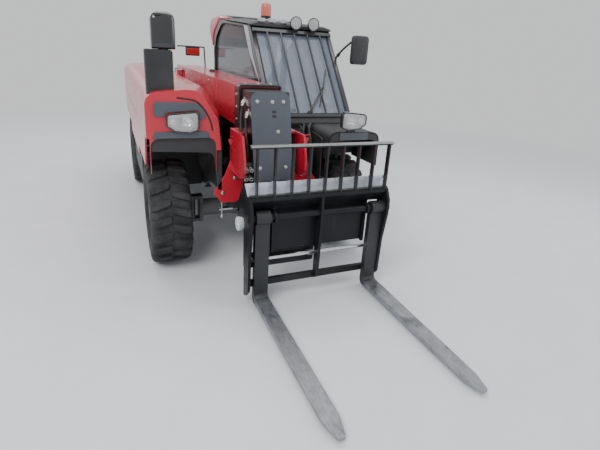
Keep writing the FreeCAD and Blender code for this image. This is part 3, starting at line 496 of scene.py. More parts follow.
def offset(outline, d):
    """Outline moved outward by d."""
    n = len(outline)
    area = sum(outline[i - 1][0] * outline[i][1] - outline[i][0] * outline[i - 1][1] for i in range(n))
    s = 1.0 if area > 0 else -1.0
    out = []
    for i in range(n):
        a, b, c = (Vector(outline[(i + k) % n]) for k in (-1, 0, 1))
        d1, d2 = (b - a).normalized(), (c - b).normalized()
        m = Vector((d1.y + d2.y, -d1.x - d2.x)).normalized() * s
        out.append(tuple(b + m * (d / max(0.4, m.dot(Vector((d1.y, -d1.x)) * s)))))
    return out


def ease(points, steps, closed=False):
    """Catmull-Rom curve through the points."""
    if steps < 2 or len(points) < 3:
        return points
    out = []
    n = len(points)
    for i in range(n if closed else n - 1):
        p0, p1, p2, p3 = (points[(i + k) % n if closed else min(max(i + k, 0), n - 1)] for k in (-1, 0, 1, 2))
        for t in (j / steps for j in range(steps)):
            out.append(0.5 * (2 * p1 + (p2 - p0) * t + (2 * p0 - 5 * p1 + 4 * p2 - p3) * t * t
                              + (3 * p1 - p0 - 3 * p2 + p3) * t ** 3))
    return out if closed else out + [points[-1]]


def rounded(points, steps=5):
    """Outline with rounded corners from (a, b, radius) points."""
    out = []
    for i, (u, v, *r) in enumerate(points):
        p = Vector((u, v))
        if not r or not r[0]:
            out.append(tuple(p))
            continue
        a = (Vector(points[i - 1][:2]) - p).normalized()
        b = (Vector(points[(i + 1) % len(points)][:2]) - p).normalized()
        back = r[0] / math.tan(a.angle(b) / 2)
        for t in (k / steps for k in range(steps + 1)):
            out.append(tuple((p + a * back) * (1 - t) ** 2 + p * 2 * t * (1 - t) + (p + b * back) * t * t))
    return out


def slab(low, high, r, steps=3):
    """Rectangle with rounded corners."""
    return rounded([(*low, r), (high[0], low[1], r), (*high, r), (low[0], high[1], r)], steps)


def circle(r, n, at=lambda a, b: (a, b), turn=0.0):
    return [at(r * math.cos(a), r * math.sin(a)) for a in (turn + 2 * math.pi * i / n for i in range(n))]


def sheet(name, axis, loops, a, b, material="plastic", bevel=0.0015, body="chassis", instead=None):
    """Flat plate from a to b along an axis: loops are (u, v, radius) outlines, the outer one first, then its holes."""
    curve = bpy.data.curves.new(name, "CURVE")
    curve.dimensions = "2D"
    curve.fill_mode = "BOTH"
    for loop in loops:
        pts = rounded(loop, 7)
        spline = curve.splines.new("POLY")
        spline.points.add(len(pts) - 1)
        for q, v in zip(spline.points, pts):
            q.co = (*v, 0.0, 1.0)
        spline.use_cyclic_u = True
    curve.extrude = (b - a) / 2 - bevel
    curve.bevel_depth = bevel
    curve.bevel_resolution = 1
    curve.offset = -bevel
    source = new_object(name, curve)
    mesh = bpy.data.meshes.new_from_object(source.evaluated_get(bpy.context.evaluated_depsgraph_get()))
    bpy.data.objects.remove(source)
    mid = (a + b) / 2
    mesh.transform({"x": Matrix(((0, 0, 1, mid), (1, 0, 0, 0), (0, 1, 0, 0), (0, 0, 0, 1))),
                    "y": Matrix(((1, 0, 0, 0), (0, 0, -1, mid), (0, 1, 0, 0), (0, 0, 0, 1)))}[axis])
    mesh.name = name
    o = new_object(name, mesh)
    mesh.materials.clear()
    mesh.materials.append(M[material])
    mesh.shade_smooth()
    o.modifiers.new("weld", "WELD").merge_threshold = 0.0002
    o.modifiers.new("normals", "WEIGHTED_NORMAL").keep_sharp = True
    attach(o, body)
    if instead:
        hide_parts(instead)


# Studio

PALE = (0.80, 0.81, 0.825)
SKY = (0.86, 0.92, 1.0, 1.0)
# Lights: place, size, power and what they point at
LIGHTS = {"key": ((-4.5, -5.0, 6.5), 4.0, 420.0, (0, -0.3, 0.6)), "fill": ((6.0, -3.5, 4.0), 5.0, 160.0, (0, 0, 0.8)),
          "top": ((0.5, 1.0, 7.5), 6.0, 260.0, (0, 0, 0.5)), "back": ((-3.0, 7.5, 5.0), 4.0, 140.0, (0, 1.0, 1.0))}


def seen_ray(m):
    """1 for rays from the camera, off glossy faces or through clear ones."""
    path = add(m, "LightPath").outputs
    seen = maths(m, "MAXIMUM", path["Is Camera Ray"], path["Is Glossy Ray"])
    return maths(m, "MAXIMUM", seen, path["Is Transmission Ray"])


def studio():
    """Big pale floor that fades into the background, soft lights and a pale world."""
    m, p = plain("studio_floor", Roughness=0.9)
    drive(m, p, Base_Color=mixed(m, span(m, noise(m, 3.0, 8.0, 0.6), 0.3, 0.7), rgb(PALE, 0.95), rgb(PALE, 1.0)))
    bumped(m, p, noise(m, 90.0, 4.0), 0.0006)
    far = add(m, "VectorMath", {0: add(m, "TexCoord").outputs["Object"]}, operation="LENGTH").outputs["Value"]
    glow = add(m, "Emission", {"Color": rgb(PALE), "Strength": 1.0})
    fade = maths(m, "MULTIPLY", span(m, far, 4.0, 9.0), seen_ray(m))
    blend = add(m, "MixShader", {0: fade, 1: p.outputs[0], 2: glow.outputs[0]})
    drive(m, m.node_tree.nodes["Material Output"], Surface=blend.outputs[0])
    mesh = bpy.data.meshes.new("studio_floor")
    mesh.from_pydata([(-60, -60, -0.001), (60, -60, -0.001), (60, 60, -0.001), (-60, 60, -0.001)], [], [(0, 1, 2, 3)])
    mesh.materials.append(m)
    new_object("studio_floor", mesh)

    world = bpy.data.worlds.new("studio")
    bpy.context.scene.world = world
    world.use_nodes = True
    sky = world.node_tree.nodes["Background"]
    sky.inputs["Color"].default_value = SKY
    sky.inputs["Strength"].default_value = 0.62
    pale = add(world, "Background", {"Color": rgb(PALE)})
    choose = add(world, "MixShader", {0: seen_ray(world), 1: sky.outputs[0], 2: pale.outputs[0]})
    drive(world, world.node_tree.nodes["World Output"], Surface=choose.outputs[0])
    for name, (at, size, power, target) in LIGHTS.items():
        data = bpy.data.lights.new(name, "AREA")
        data.size = size
        data.energy = power
        lamp = new_object(name, data)
        lamp.location = at
        lamp.rotation_mode = "QUATERNION"
        lamp.rotation_quaternion = (Vector(target) - Vector(at)).to_track_quat("-Z", "Y")


# Wheels


def tyre():
    """Carcass and blocks of one tyre about the origin, its outer side towards +X, in two staggered rows."""
    k = Kit()
    side = [(-0.105, 0.212), (-0.128, 0.216), (-0.142, 0.232), (-0.152, 0.262), (-0.1545, 0.3), (-0.152, 0.335),
            (-0.144, 0.362), (-0.13, 0.38), (-0.1, 0.389), (-0.05, 0.391), (0.0, 0.391)]
    k.lathe(side + [(-x, r) for x, r in side[-2::-1]], (0, 0, 0), (1, 0, 0), 96, cap=False)
    for s in (-1, 1):
        for x, r, t in ((0.147, 0.27, 0.0032), (0.146, 0.345, 0.004)):
            k.tube(circle(r, 60, lambda a, b: (s * x, a, b)), t, 6, 1, True)
    carcass = k.done("tyre_carcass", "tyre", body=None, angle=60)
    count, half, radius = 20, 0.029, 0.4
    for s in (-1, 1):
        # One block outward across the tread and down over the shoulder: x, inner and outer radius, lead, half width
        rows = [(0.008, 0.388, 0.4146, -0.006, half * 0.8), (0.05, 0.388, 0.4146, 0.006, half),
                (0.1, 0.386, 0.4135, 0.020, half), (0.128, 0.378, 0.409, 0.026, half * 0.95),
                (0.146, 0.358, 0.392, 0.029, half * 0.85), (0.1515, 0.33, 0.352, 0.030, half * 0.6)]
        for i in range(count):
            turn = Matrix.Rotation((i + (0.5 if s > 0 else 0.0)) * 2 * math.pi / count, 4, "X")
            rings = []
            for x, r0, r1, lead, wide in rows:
                ring = []
                foot, crest = wide * 1.12, wide * 0.88
                for r, h, q in ((r0, foot, -1), (r0, foot, 1), (r1, crest, 1), (r1, crest, -1)):
                    a = (lead + q * h) / radius
                    across = s * x if r == r1 or x < 0.14 else s * (x - 0.004)
                    ring.append(turn @ Vector((across, r * math.sin(a), r * math.cos(a))))
                rings.append(ring)
            k.loft(rings)
    return carcass, k.done("tyre_blocks", "tyre", 0.0035, None)


def wheels():
    parts = list(tyre())
    k = Kit()
    # Planetary hub cap, studs and nuts on the outer side
    k.lathe([(0.058, 0.098), (0.066, 0.1), (0.072, 0.098), (0.074, 0.09), (0.092, 0.084), (0.098, 0.076), (0.1, 0.05),
             (0.101, 0.03), (0.104, 0.028), (0.106, 0.0)], (0, 0, 0), (1, 0, 0), 48, cap=False)
    parts.append(k.done("hub_cap", "iron", 0.0015, None))
    for y, z in circle(0.137, 8):
        k.bolt((0.0475, y, z), (1, 0, 0), 0.0125, 0.016)
        k.rod((0.05, y, z), (0.072, y, z), 0.0065, 12)
    for y, z in circle(0.078, 6, turn=0.2):
        k.bolt((0.092, y, z), (1, 0, 0), 0.0055, 0.005, False)
    parts.append(k.done("wheel_nuts", "zinc", 0.0008, None))
    k.lathe([(0.086, 0.2), (0.1, 0.204), (0.118, 0.209), (0.1255, 0.214), (0.129, 0.2205), (0.1275, 0.224),
             (0.1225, 0.223), (0.116, 0.214), (0.1, 0.21)], (0, 0, 0), (1, 0, 0), 72, cap=False)
    k.rod((0.072, 0.172, 0.0), (0.11, 0.182, 0.0), 0.004, 10)
    parts.append(k.done("rim_flange", "rim", 0.0008, None))
    for axle, y in AXLE_Y.items():
        for side, sign in (("right", -1), ("left", 1)):
            turn = Matrix.Rotation(math.pi, 4, "Z") if sign < 0 else Matrix.Identity(4)
            for part in parts:
                one = part.copy()
                one.name = f"{part.name}_{axle}_{side}"
                bpy.context.collection.objects.link(one)
                one.matrix_world = Matrix.Translation((sign * WHEEL_X, y, WHEEL_Z)) @ turn
                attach(one, f"wheel_{axle}_{side}")
                rubber_part = part.name.startswith("tyre")
                if rubber_part:
                    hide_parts(f"tyre_{axle}_{side}")
    for part in parts:
        bpy.data.objects.remove(part)


# Lamps


def headlights():
    for side, name in ((-1, "right"), (1, "left")):
        line = rounded([(-0.771, 1.176, 0.012), (-0.771, 1.248, 0.025), (-0.566, 1.266, 0.025),
                        (-0.566, 1.152, 0.025), (-0.618, 1.133, 0.02), (-0.72, 1.143, 0.02)], 4)
        if side > 0:
            line = [(-x - 0.03, z) for x, z in line]
        cx = sum(q[0] for q in line) / len(line)
        k = Kit()
        k.crowned(line, [(-0.842, 0.97), (-0.862, 0.97), (-0.868, 0.95), (-0.872, 0.86), (-0.8742, 0.6), (-0.875, 0.3)])
        k.done(f"headlamp_lens_{name}", "lens", instead="headlights", angle=50)
        k.ring(line, NOSE_Y, -0.866, 0.007, 0.004)
        k.crowned(offset(line, -0.004), [(-0.834, 1.0), (-0.839, 1.0)])
        if side > 0:
            k.crowned(offset(line, 0.004), [(-0.815, 0.8), (-0.825, 0.97), (-0.838, 1.0)])
        k.done(f"headlamp_body_{name}", "gloss", 0.0015, instead="headlights")
        for dx, r in ((-0.028 * side, 0.046), (0.058 * side, 0.03)):
            p = (cx + dx, -0.843, 1.2)
            k.lathe([(0.0, 0.0), (0.0, r * 0.2), (0.002, r * 0.45), (0.009, r * 0.82), (0.02, r), (0.021, r * 1.05),
                     (0.014, r * 1.05), (0.0, r * 0.7)], p, (0, -1, 0), 36, cap=False)
            k.lathe([(0.0, 0.007), (0.014, 0.007), (0.017, 0.004), (0.018, 0.0)], p, (0, -1, 0), 16)
        k.done(f"headlamp_reflector_{name}", "mirror", instead="headlights", angle=50)
        x = cx + side * 0.087
        k.crowned([(x - 0.011, 1.172), (x + 0.011, 1.172), (x + 0.011, 1.226), (x - 0.011, 1.226)],
                  [(-0.842, 1.0), (-0.85, 1.0), (-0.854, 0.7)])
        k.done(f"headlamp_marker_{name}", "amber", 0.002, instead="headlights")


def work_lamps():
    bowls, dishes, glass = Kit(), Kit(), Kit()
    z = 1.928
    for x in (0.507, 0.682):
        bowls.lathe([(0.0, 0.022), (0.004, 0.034), (0.012, 0.047), (0.024, 0.0545), (0.036, 0.0565), (0.046, 0.0575),
                     (0.0485, 0.057), (0.0485, 0.052), (0.04, 0.0515)], (x, 0.160, z), (0, -1, 0), 40)
        bowls.pad("y", (x - 0.012, 1.866), (x + 0.012, 1.9), 0.146, 0.185)
        bowls.bolt((x, 0.154, 1.9), (0, 0, 1), 0.006)
        dishes.lathe([(0.0, 0.0), (0.0, 0.01), (0.003, 0.025), (0.009, 0.043), (0.012, 0.05), (0.006, 0.0505)],
                     (x, 0.132, z), (0, -1, 0), 36, cap=False)
        glass.lathe([(0.0, 0.0515), (0.003, 0.0515), (0.007, 0.04), (0.009, 0.022), (0.0095, 0.0)],
                    (x, 0.1195, z), (0, -1, 0), 36)
    bowls.done("work_lamp_bowls", "gloss", instead="work_lamps", angle=45)
    dishes.done("work_lamp_reflectors", "mirror", instead="work_lamps", angle=45)
    glass.done("work_lamp_lenses", "lens", instead="work_lamps", angle=45)


def beacon():
    at = (0.325, 0.44, 1.904)
    k = Kit()
    k.lathe([(0.0, 0.045), (0.016, 0.045), (0.02, 0.042), (0.02, 0.026), (0.05, 0.024), (0.055, 0.04), (0.06, 0.047),
             (0.08, 0.049), (0.082, 0.046)], at, (0, 0, 1), 40)
    k.done("beacon_base", "plastic", instead="beacon", angle=40)
    ribs = [row for h in (0.088 + i * 0.0095 for i in range(8)) for row in ((h, 0.0498), (h + 0.0048, 0.0484))]
    k.lathe([(0.082, 0.0485), *ribs, (0.168, 0.048), (0.18, 0.044), (0.19, 0.036), (0.196, 0.024), (0.199, 0.0)],
            at, (0, 0, 1), 40)
    k.done("beacon_dome", "amber", instead="beacon", angle=60)
    # Pale lamp rail along the roof's front edge
    k.tube([(0.16, 0.17, 1.935), (0.45, 0.17, 1.935)], 0.007, 12, 1)
    for x0, x1 in ((0.165, 0.225), (0.26, 0.33), (0.375, 0.435)):
        k.prism(rounded([(x0, 1.922, 0.004), (x1, 1.922, 0.004), (x1, 1.95, 0.006), (x0, 1.95, 0.006)], 3),
                "y", 0.158, 0.182)
    k.done("roof_rail_plates", "silver_and_painted_reflection", 0.0012)
    for x in (0.175, 0.295, 0.425):
        k.pad("y", (x - 0.006, 1.898), (x + 0.006, 1.93), 0.166, 0.176)
    k.done("roof_rail_feet", "black", 0.001)


def rear_lamps():
    """Lamp on a thin tube over the boom, and the two lamps in the corners of the rear."""
    y, x = 2.24, 0.1095
    k = Kit()
    k.tube([(x, y, 1.1), (x, y, 1.2), (x - 0.02, y, 1.63), (x - 0.03, y, 1.664), (x - 0.07, y, 1.668),
            (-0.255, y, 1.668)], 0.009, 12, 5)
    k.lathe([(0, 0), (0, 0.028), (0.006, 0.028), (0.008, 0.014), (0.03, 0.012)], (x, y, 1.1), (0, 0, 1), 24, False)
    k.pad("y", (-0.15, 1.555), (0.025, 1.66), y - 0.03, y + 0.028, 0.012)
    for x0, z0 in ((-0.882, 0.998), (0.813, 0.918)):
        k.pad("y", (x0, z0), (x0 + 0.069, z0 + 0.134), 2.47, 2.488, 0.01)
    k.done("rear_lamp_frame", "plastic", 0.0015, instead="rear_lamp")
    face = slab((-0.138, 1.567), (0.013, 1.648), 0.008)
    k.crowned(face, [(y - 0.029, 1.0), (y - 0.036, 0.98), (y - 0.039, 0.85)])
    k.crowned(face, [(y + 0.027, 1.0), (y + 0.031, 0.98), (y + 0.033, 0.85)])
    corners = ((-0.877, 1.003), (0.818, 0.923))
    levels = [(2.486, 1.0), (2.494, 0.97), (2.498, 0.85)]
    for x0, z0 in corners:
        k.crowned(slab((x0, z0 + 0.042), (x0 + 0.059, z0 + 0.124), 0.006), levels)
    k.done("rear_lamp_lenses", "ruby", 0.001, instead="rear_lamp")
    for x0, z0 in corners:
        k.crowned(slab((x0, z0), (x0 + 0.059, z0 + 0.038), 0.006), levels)
    k.done("turn_lamp_lenses", "amber", 0.001, instead="rear_lamp")


# Mirrors


def mirrors():
    """Right mirror on its low post, left one on its arm from the cab's pillar."""
    k = Kit()
    post = rounded([(-0.88, 1.3, 0.0), (-0.706, 1.3, 0.0), (-0.706, 1.65, 0.02), (-0.88, 1.65, 0.012)], 4)
    k.skinned("y", post, [(-0.69, -0.003), (-0.694, 0.0), (-0.772, 0.0), (-0.778, -0.004), (-0.78, -0.01)])
    for z in (1.4, 1.475, 1.55):
        k.pad("y", (-0.862, z), (-0.724, z + 0.006), -0.7805, -0.775)
    for x in (-0.868, -0.718):
        k.bolt((x, -0.778, 1.42), (0, -1, 0), 0.006, 0.004, False)
    k.done("mirror_post", "plastic", 0.002, instead="mirrors")
    head = rounded([(-0.835, 1.652, 0.008), (-0.835, 1.872, 0.05), (-0.685, 1.872, 0.05), (-0.685, 1.652, 0.008)], 6)
    k.crowned(head, [(-0.692, 0.9), (-0.692, 0.98), (-0.695, 1.0), (-0.757, 1.0), (-0.773, 0.96), (-0.783, 0.86),
                     (-0.788, 0.66), (-0.79, 0.4)])
    k.done("mirror_housing_right", "gloss", instead="mirrors", angle=60)
    k.skinned("y", head, [(-0.694, -0.014), (-0.6905, -0.014), (-0.69, -0.018)])
    k.done("mirror_face_right", "mirror", instead="mirrors", angle=60)
    # Clip on the housing's top edge and the pivot under it
    k.prism(rounded([(-0.815, 1.845, 0.004), (-0.77, 1.85, 0.004), (-0.77, 1.862, 0.004), (-0.815, 1.858, 0.004)], 2),
            "y", -0.7895, -0.772)
    k.lathe([(0, 0.034), (0.012, 0.03), (0.016, 0.022)], (-0.76, -0.735, 1.645), (0, 0, 1), 24)
    k.done("mirror_pivot_right", "plastic", 0.001)

    k.tube([(0.885, 0.03, 1.632), (0.888, 0.0, 1.66), (0.892, -0.09, 1.72), (0.895, -0.23, 1.785), (0.89, -0.3, 1.797),
            (0.885, -0.37, 1.796), (0.88, -0.425, 1.79)], 0.0095, 12, 5)
    k.pad("x", (0.015, 1.61), (0.045, 1.65), 0.878, 0.9, 0.006)
    k.lathe([(0, 0), (0, 0.016), (0.03, 0.014), (0.036, 0.0098), (0.05, 0.0095)], (0.8905, -0.014, 1.671),
            (0.04, -0.8, 0.56), 16, False)
    k.lathe([(0, 0), (0, 0.015), (0.02, 0.017), (0.03, 0.012)], (0.883, -0.395, 1.793), (-0.09, -0.99, -0.09), 16,
            False)
    for z in (1.618, 1.642):
        k.bolt((0.9, 0.03, z), (1, 0, 0), 0.005, 0.0035, False)
    k.done("mirror_arm_left", "plastic", 0.0008, instead="mirrors")
    head = rounded([(0.79, 1.61, 0.03), (0.79, 1.84, 0.03), (0.944, 1.84, 0.03), (0.944, 1.61, 0.03)], 6)
    k.crowned(head, [(-0.424, 0.9), (-0.424, 0.98), (-0.427, 1.0), (-0.448, 1.0), (-0.459, 0.96), (-0.4665, 0.85),
                     (-0.47, 0.65)])
    k.pad("y", (0.84, 1.7), (0.895, 1.75), -0.4698, -0.46, 0.006)
    k.done("mirror_housing_left", "plastic", instead="mirrors", angle=60)
    k.skinned("y", head, [(-0.426, -0.01), (-0.4215, -0.01), (-0.421, -0.014)])
    k.done("mirror_face_left", "mirror", instead="mirrors", angle=60)


# Cab, its outlines as (y, z, radius)

SIDE_WINDOW = [(-0.07, 1.375, 0.03), (0.385, 1.88, 0.05), (1.25, 1.94, 0.4), (1.6, 1.76, 0.25), (1.6, 1.375, 0.02)]
REAR_WINDOW = [(1.35, 1.2, 0.02), (1.35, 1.85, 0.02), (1.52, 1.85, 0.06), (1.625, 1.68, 0.06), (1.625, 1.2, 0.02)]
DOOR_WINDOW = [(-0.25, 1.16, 0.018), (0.262, 1.815, 0.02), (1.265, 1.815, 0.02), (1.265, 0.9, 0.02), (0.3, 0.9, 0.02),
               (0.3, 1.07, 0.02)]
CAB_SIDE = [(-0.385, 1.18), (0.19, 1.885), (1.35, 1.972), (1.665, 1.82, 0.18), (1.665, 1.01), (1.39, 1.01), (1.39, 0.5),
            (0.195, 0.5), (0.195, 0.98), (-0.385, 1.08)]
DOOR_GAP = [(-0.33, 1.13, 0.02), (0.235, 1.858, 0.03), (1.31, 1.858, 0.03), (1.31, 0.56, 0.03), (0.24, 0.56, 0.03),
            (0.24, 1.02, 0.03)]


def roof_z(y):
    """Height of the roof panel's underside, which rises to the back."""
    return 1.885 + 0.075 * (y - 0.19)


def cab_shell():
    for name, x, windows in (("right", CAB_X[0], [SIDE_WINDOW]), ("left", CAB_X[1] - WALL, [DOOR_GAP, REAR_WINDOW])):
        sheet(f"cab_side_{name}", "x", [CAB_SIDE, *windows], x, x + WALL, "cab", 0.005, instead="cab_frame")
    # Beams over the rear window and the windscreen, and the door's hinges
    k = Kit()
    k.box((0.13, 1.612, 1.745), (0.842, 1.648, 1.79))
    k.prism([(0.15, 1.832), (0.19, 1.884), (0.25, 1.889), (0.25, 1.832)], "x", 0.13, 0.842)
    for z in (0.7, 1.45):
        k.rod((0.892, 1.312, z - 0.015), (0.892, 1.312, z + 0.075), 0.005, 16)
        for low in (z - 0.015, z + 0.0603):
            k.box((0.879, 1.312, low), (0.9, 1.337, low + 0.015))
            k.rod((0.892, 1.312, low), (0.892, 1.312, low + 0.015), 0.008, 20)
    k.done("cab_beams", "cab", 0.002, instead="cab_frame")
    # Windscreen, rear and side panes
    k.prism([(-0.378, 1.181), (-0.367, 1.181), (0.164, 1.832), (0.153, 1.832)], "x", *SCREEN_X)
    k.pad("x", (1.634, 1.252), (1.64, 1.745), *SCREEN_X)
    k.done("cab_panes", "screen", instead="cab_glass", angle=30)
    for name, line, x in (("side_pane", SIDE_WINDOW, 0.11), ("rear_quarter_pane", REAR_WINDOW, 0.86)):
        sheet(name, "x", [line], x - 0.003, x + 0.003, "glass", 0.0005, instead="cab_glass")
    # Roof panel, and the red cap behind it
    x0, x1 = ROOF_X
    rings = []
    for y, drop in ((0.165, 0.012), (0.185, 0.0), (0.6, 0.0), (1.01, 0.0)):
        z = roof_z(y)
        line = rounded([(x0, z), (x0, z + 0.018, 0.008), (x0 + 0.07, z + 0.035, 0.05),
                        (x1 - 0.07, z + 0.035, 0.05), (x1, z + 0.018, 0.008), (x1, z)], 4)
        rings.append([(x, y, b - drop if b > z + 0.01 else b) for x, b in line])
    k.loft(rings)
    k.done("roof_panel", "roof", 0.003, instead="cab_roof", angle=40)
    hull = [(1.012, roof_z(1.012) + 0.035), (1.33, 2.018, 0.4), (1.785, 2.0, 0.15), (1.86, 1.86, 0.09), (1.685, 1.69)]
    under = [(1.665, 1.69), (1.665, 1.82, 0.18), (1.35, 1.972), (1.012, roof_z(1.012))]
    k.skinned("x", rounded(hull + under, 8), [(0.08, -0.022), (0.083, -0.012), (0.09, -0.005), (0.104, 0.0),
                                              (0.864, 0.0), (0.878, -0.005), (0.885, -0.012), (0.888, -0.022)])
    k.done("cab_cap", "red", instead="cab_roof", angle=40)


def seal(k, points, x, r=0.006):
    """Rubber strip round a window in a side wall."""
    k.tube([(x, a, b) for a, b in offset(rounded(points, 7), -r * 0.4)], r, 8, 1, True)


def glazing():
    """Window seals, a silver strip painted on the pillar as its sky reflection, and what lies on the roof."""
    k = Kit()
    for x in (0.0965, 0.1275):
        seal(k, SIDE_WINDOW, x, 0.0075)
    for x in (0.845, 0.8755):
        seal(k, REAR_WINDOW, x)
    foot, top = (-0.3735, 1.186), (0.155, 1.834)
    for p in (foot, top):
        k.tube([(0.135, *p), (0.837, *p)], 0.008, 8, 1)
    for x in (0.1345, 0.8375):
        k.tube([(x, *foot), (x, *top)], 0.008, 8, 1)
    k.done("window_seals", "seal", angle=60)
    for x in (0.8475, 0.8705):
        seal(k, DOOR_WINDOW, x)
    k.done("door_window_seals", "seal", body="cab_door", angle=60)
    # Silver strip on the pillar's outer face: a painted sky reflection, wide at the top and narrow at the foot
    k.prism([(0.255, 1.883), (0.378, 1.889), (0.164, 1.634), (-0.1, 1.447), (-0.13, 1.42), (0.072, 1.62)],
            "x", 0.0893, 0.0925)
    k.done("pillar_strip", "silver_and_painted_reflection", 0.0008)
    # Rain gutters and raised ribs of the roof
    for x in (0.083, 0.885):
        gutter = ((0.17, -0.004), (1.0, -0.004), (1.0, 0.01), (0.17, 0.01))
        k.prism([(y, roof_z(y) + d) for y, d in gutter], "x", x - 0.003, x + 0.003)
    for x in (0.27, 0.42, 0.57, 0.72):
        k.loft([[(x + s * w, y, roof_z(y) + h) for s, h in ((-1, 0.033), (1, 0.033), (0.6, crest), (-0.6, crest))]
                for y, w, crest in ((0.22, 0.012, 0.035), (0.26, 0.016, 0.041), (0.95, 0.016, 0.041),
                                    (0.99, 0.012, 0.035))])
    k.done("roof_ribs", "roof", 0.002)
    # Dark panel let into the top of the red cap
    line = [(1.014, 1.9817), (1.08, 1.988), (1.16, 1.996), (1.25, 2.004), (1.35, 2.0115), (1.45, 2.012), (1.55, 2.008),
            (1.66, 2.004), (1.72, 1.999)]
    across = ((0.15, -0.012), (0.15, 0.0085), (0.158, 0.0105), (0.812, 0.0105), (0.82, 0.0085), (0.82, -0.012))
    k.loft([[(x, y, z + d) for x, d in across] for y, z in line])
    k.done("cap_panel", "roof", 0.002)


def wiper():
    k = Kit()
    foot = Vector((0.47, -0.372, 1.192))
    up = Vector((0.0, 0.575, 0.705)).normalized()
    out = Vector((0.0, -0.705, 0.575)).normalized()
    right = Vector((1.0, 0.0, 0.0))
    k.lathe([(0, 0.018), (0.012, 0.017), (0.018, 0.012)], foot - out * 0.004, out, 20)
    tip = foot + right * 0.19 + up * 0.26
    bend = foot + (tip - foot) * 0.15
    k.tube([foot + out * 0.012, bend + out * 0.02, tip + out * 0.02], 0.005, 8, 5)
    k.tube([foot + right * 0.016 + out * 0.012, bend + right * 0.016 + out * 0.018, tip + right * 0.012 + out * 0.018],
           0.003, 8, 5)
    d = (up * 0.9 + right * 0.35).normalized()
    for off, r in ((0.013, 0.004), (0.006, 0.0028)):
        k.tube([tip - d * 0.22 + out * off, tip + out * (off + 0.004), tip + d * 0.2 + out * off], r, 8, 4)
    k.done("wiper", "plastic", angle=50)


def controls():
    """Steering column and wheel, dash, pedals, side console and its lever."""
    k = Kit()
    foot, top = Vector((SEAT_X, 0.3, 0.53)), Vector((SEAT_X, 0.416, 1.045))
    length = (top - foot).length
    k.lathe([(0.0, 0.075), (0.02, 0.07), (0.05, 0.055), (0.09, 0.06), (0.12, 0.05), (0.16, 0.055), (0.2, 0.046),
             (length - 0.14, 0.042), (length - 0.1, 0.05), (length, 0.046), (length + 0.02, 0.03),
             (length + 0.045, 0.022)], foot, top - foot, 28)
    # Instrument pod and stalk
    k.loft([[(SEAT_X + s * w, y, z) for s, (y, z) in zip((-1, 1, 1, -1), (low, low, high, high))]
            for w, low, high in ((0.11, (0.3, 0.985), (0.36, 1.075)), (0.1, (0.26, 1.0), (0.3, 1.07)))])
    k.tube([(0.44, 0.4, 1.03), (0.36, 0.4, 1.045), (0.31, 0.4, 1.05)], 0.006, 10, 4)
    # Dash under the windscreen
    dash = [(-0.34, 1.115), (0.12, 1.02, 0.03), (0.16, 1.05, 0.02), (0.06, 1.13, 0.03), (-0.33, 1.17, 0.01)]
    k.prism(rounded(dash, 3), "x", 0.14, 0.83)
    for x in (0.4, 0.58):
        k.pad("y", (x - 0.03, 0.57), (x + 0.03, 0.66), 0.285, 0.297, 0.008, 2)
        k.rod((x, 0.295, 0.6), (x, 0.25, 0.535), 0.008, 12)
    k.done("steering_column", "plastic", 0.0015, instead="controls")
    tilt = Matrix.Translation((SEAT_X, 0.424, 1.095)) @ Matrix.Rotation(math.radians(-14), 4, "X")
    axis = tilt.to_3x3() @ Vector((0, 0, 1))
    k.tube(circle(0.173, 64, lambda a, b: tilt @ Vector((a, b, 0.0))), 0.0125, 12, 1, True)
    for a in (0.5, 2.64, 4.71):
        k.tube([tilt @ Vector((r * math.cos(a), r * math.sin(a), h)) for r, h in
                ((0.03, -0.008), (0.09, -0.014), (0.165, 0.0))], 0.0085, 10, 4)
    k.lathe([(-0.03, 0.0), (-0.03, 0.024), (-0.012, 0.04), (0.006, 0.042), (0.011, 0.036), (0.012, 0.0)],
            tilt.translation, axis, 28)
    k.lathe([(0.008, 0.008), (0.022, 0.009), (0.028, 0.018), (0.042, 0.021), (0.055, 0.015), (0.06, 0.0)],
            tilt @ Vector((-0.15, 0.086, 0.0)), axis, 20, False)
    k.done("steering_wheel", "foam", instead="controls", angle=60)
    side = rounded([(0.825, 0.532), (0.805, 0.79, 0.03), (0.85, 0.846, 0.03), (1.236, 0.826, 0.03), (1.236, 0.532)], 4)
    k.skinned("x", side, [(0.137, -0.004), (0.141, 0.0), (0.244, 0.0), (0.249, -0.005)])
    for i in range(4):
        k.pad("z", (0.165 + i * 0.018, 1.0), (0.177 + i * 0.018, 1.02), 0.828, 0.845, 0.003, 2)
    k.done("side_console", "trim", 0.002, instead="controls")
    k.lathe([(0, 0.034), (0.006, 0.033), (0.012, 0.024), (0.016, 0.026), (0.022, 0.018), (0.026, 0.019), (0.032, 0.009),
             (0.05, 0.0075), (0.052, 0.012), (0.06, 0.019), (0.074, 0.021), (0.08, 0.016), (0.082, 0)],
            (0.17, 0.88, 0.832), (0, 0.05, 1), 24)
    k.done("control_lever", "foam", instead="controls", angle=60)


def bake(o):
    mesh = bpy.data.meshes.new_from_object(o.evaluated_get(bpy.context.evaluated_depsgraph_get()))
    o.modifiers.clear()
    o.data = mesh


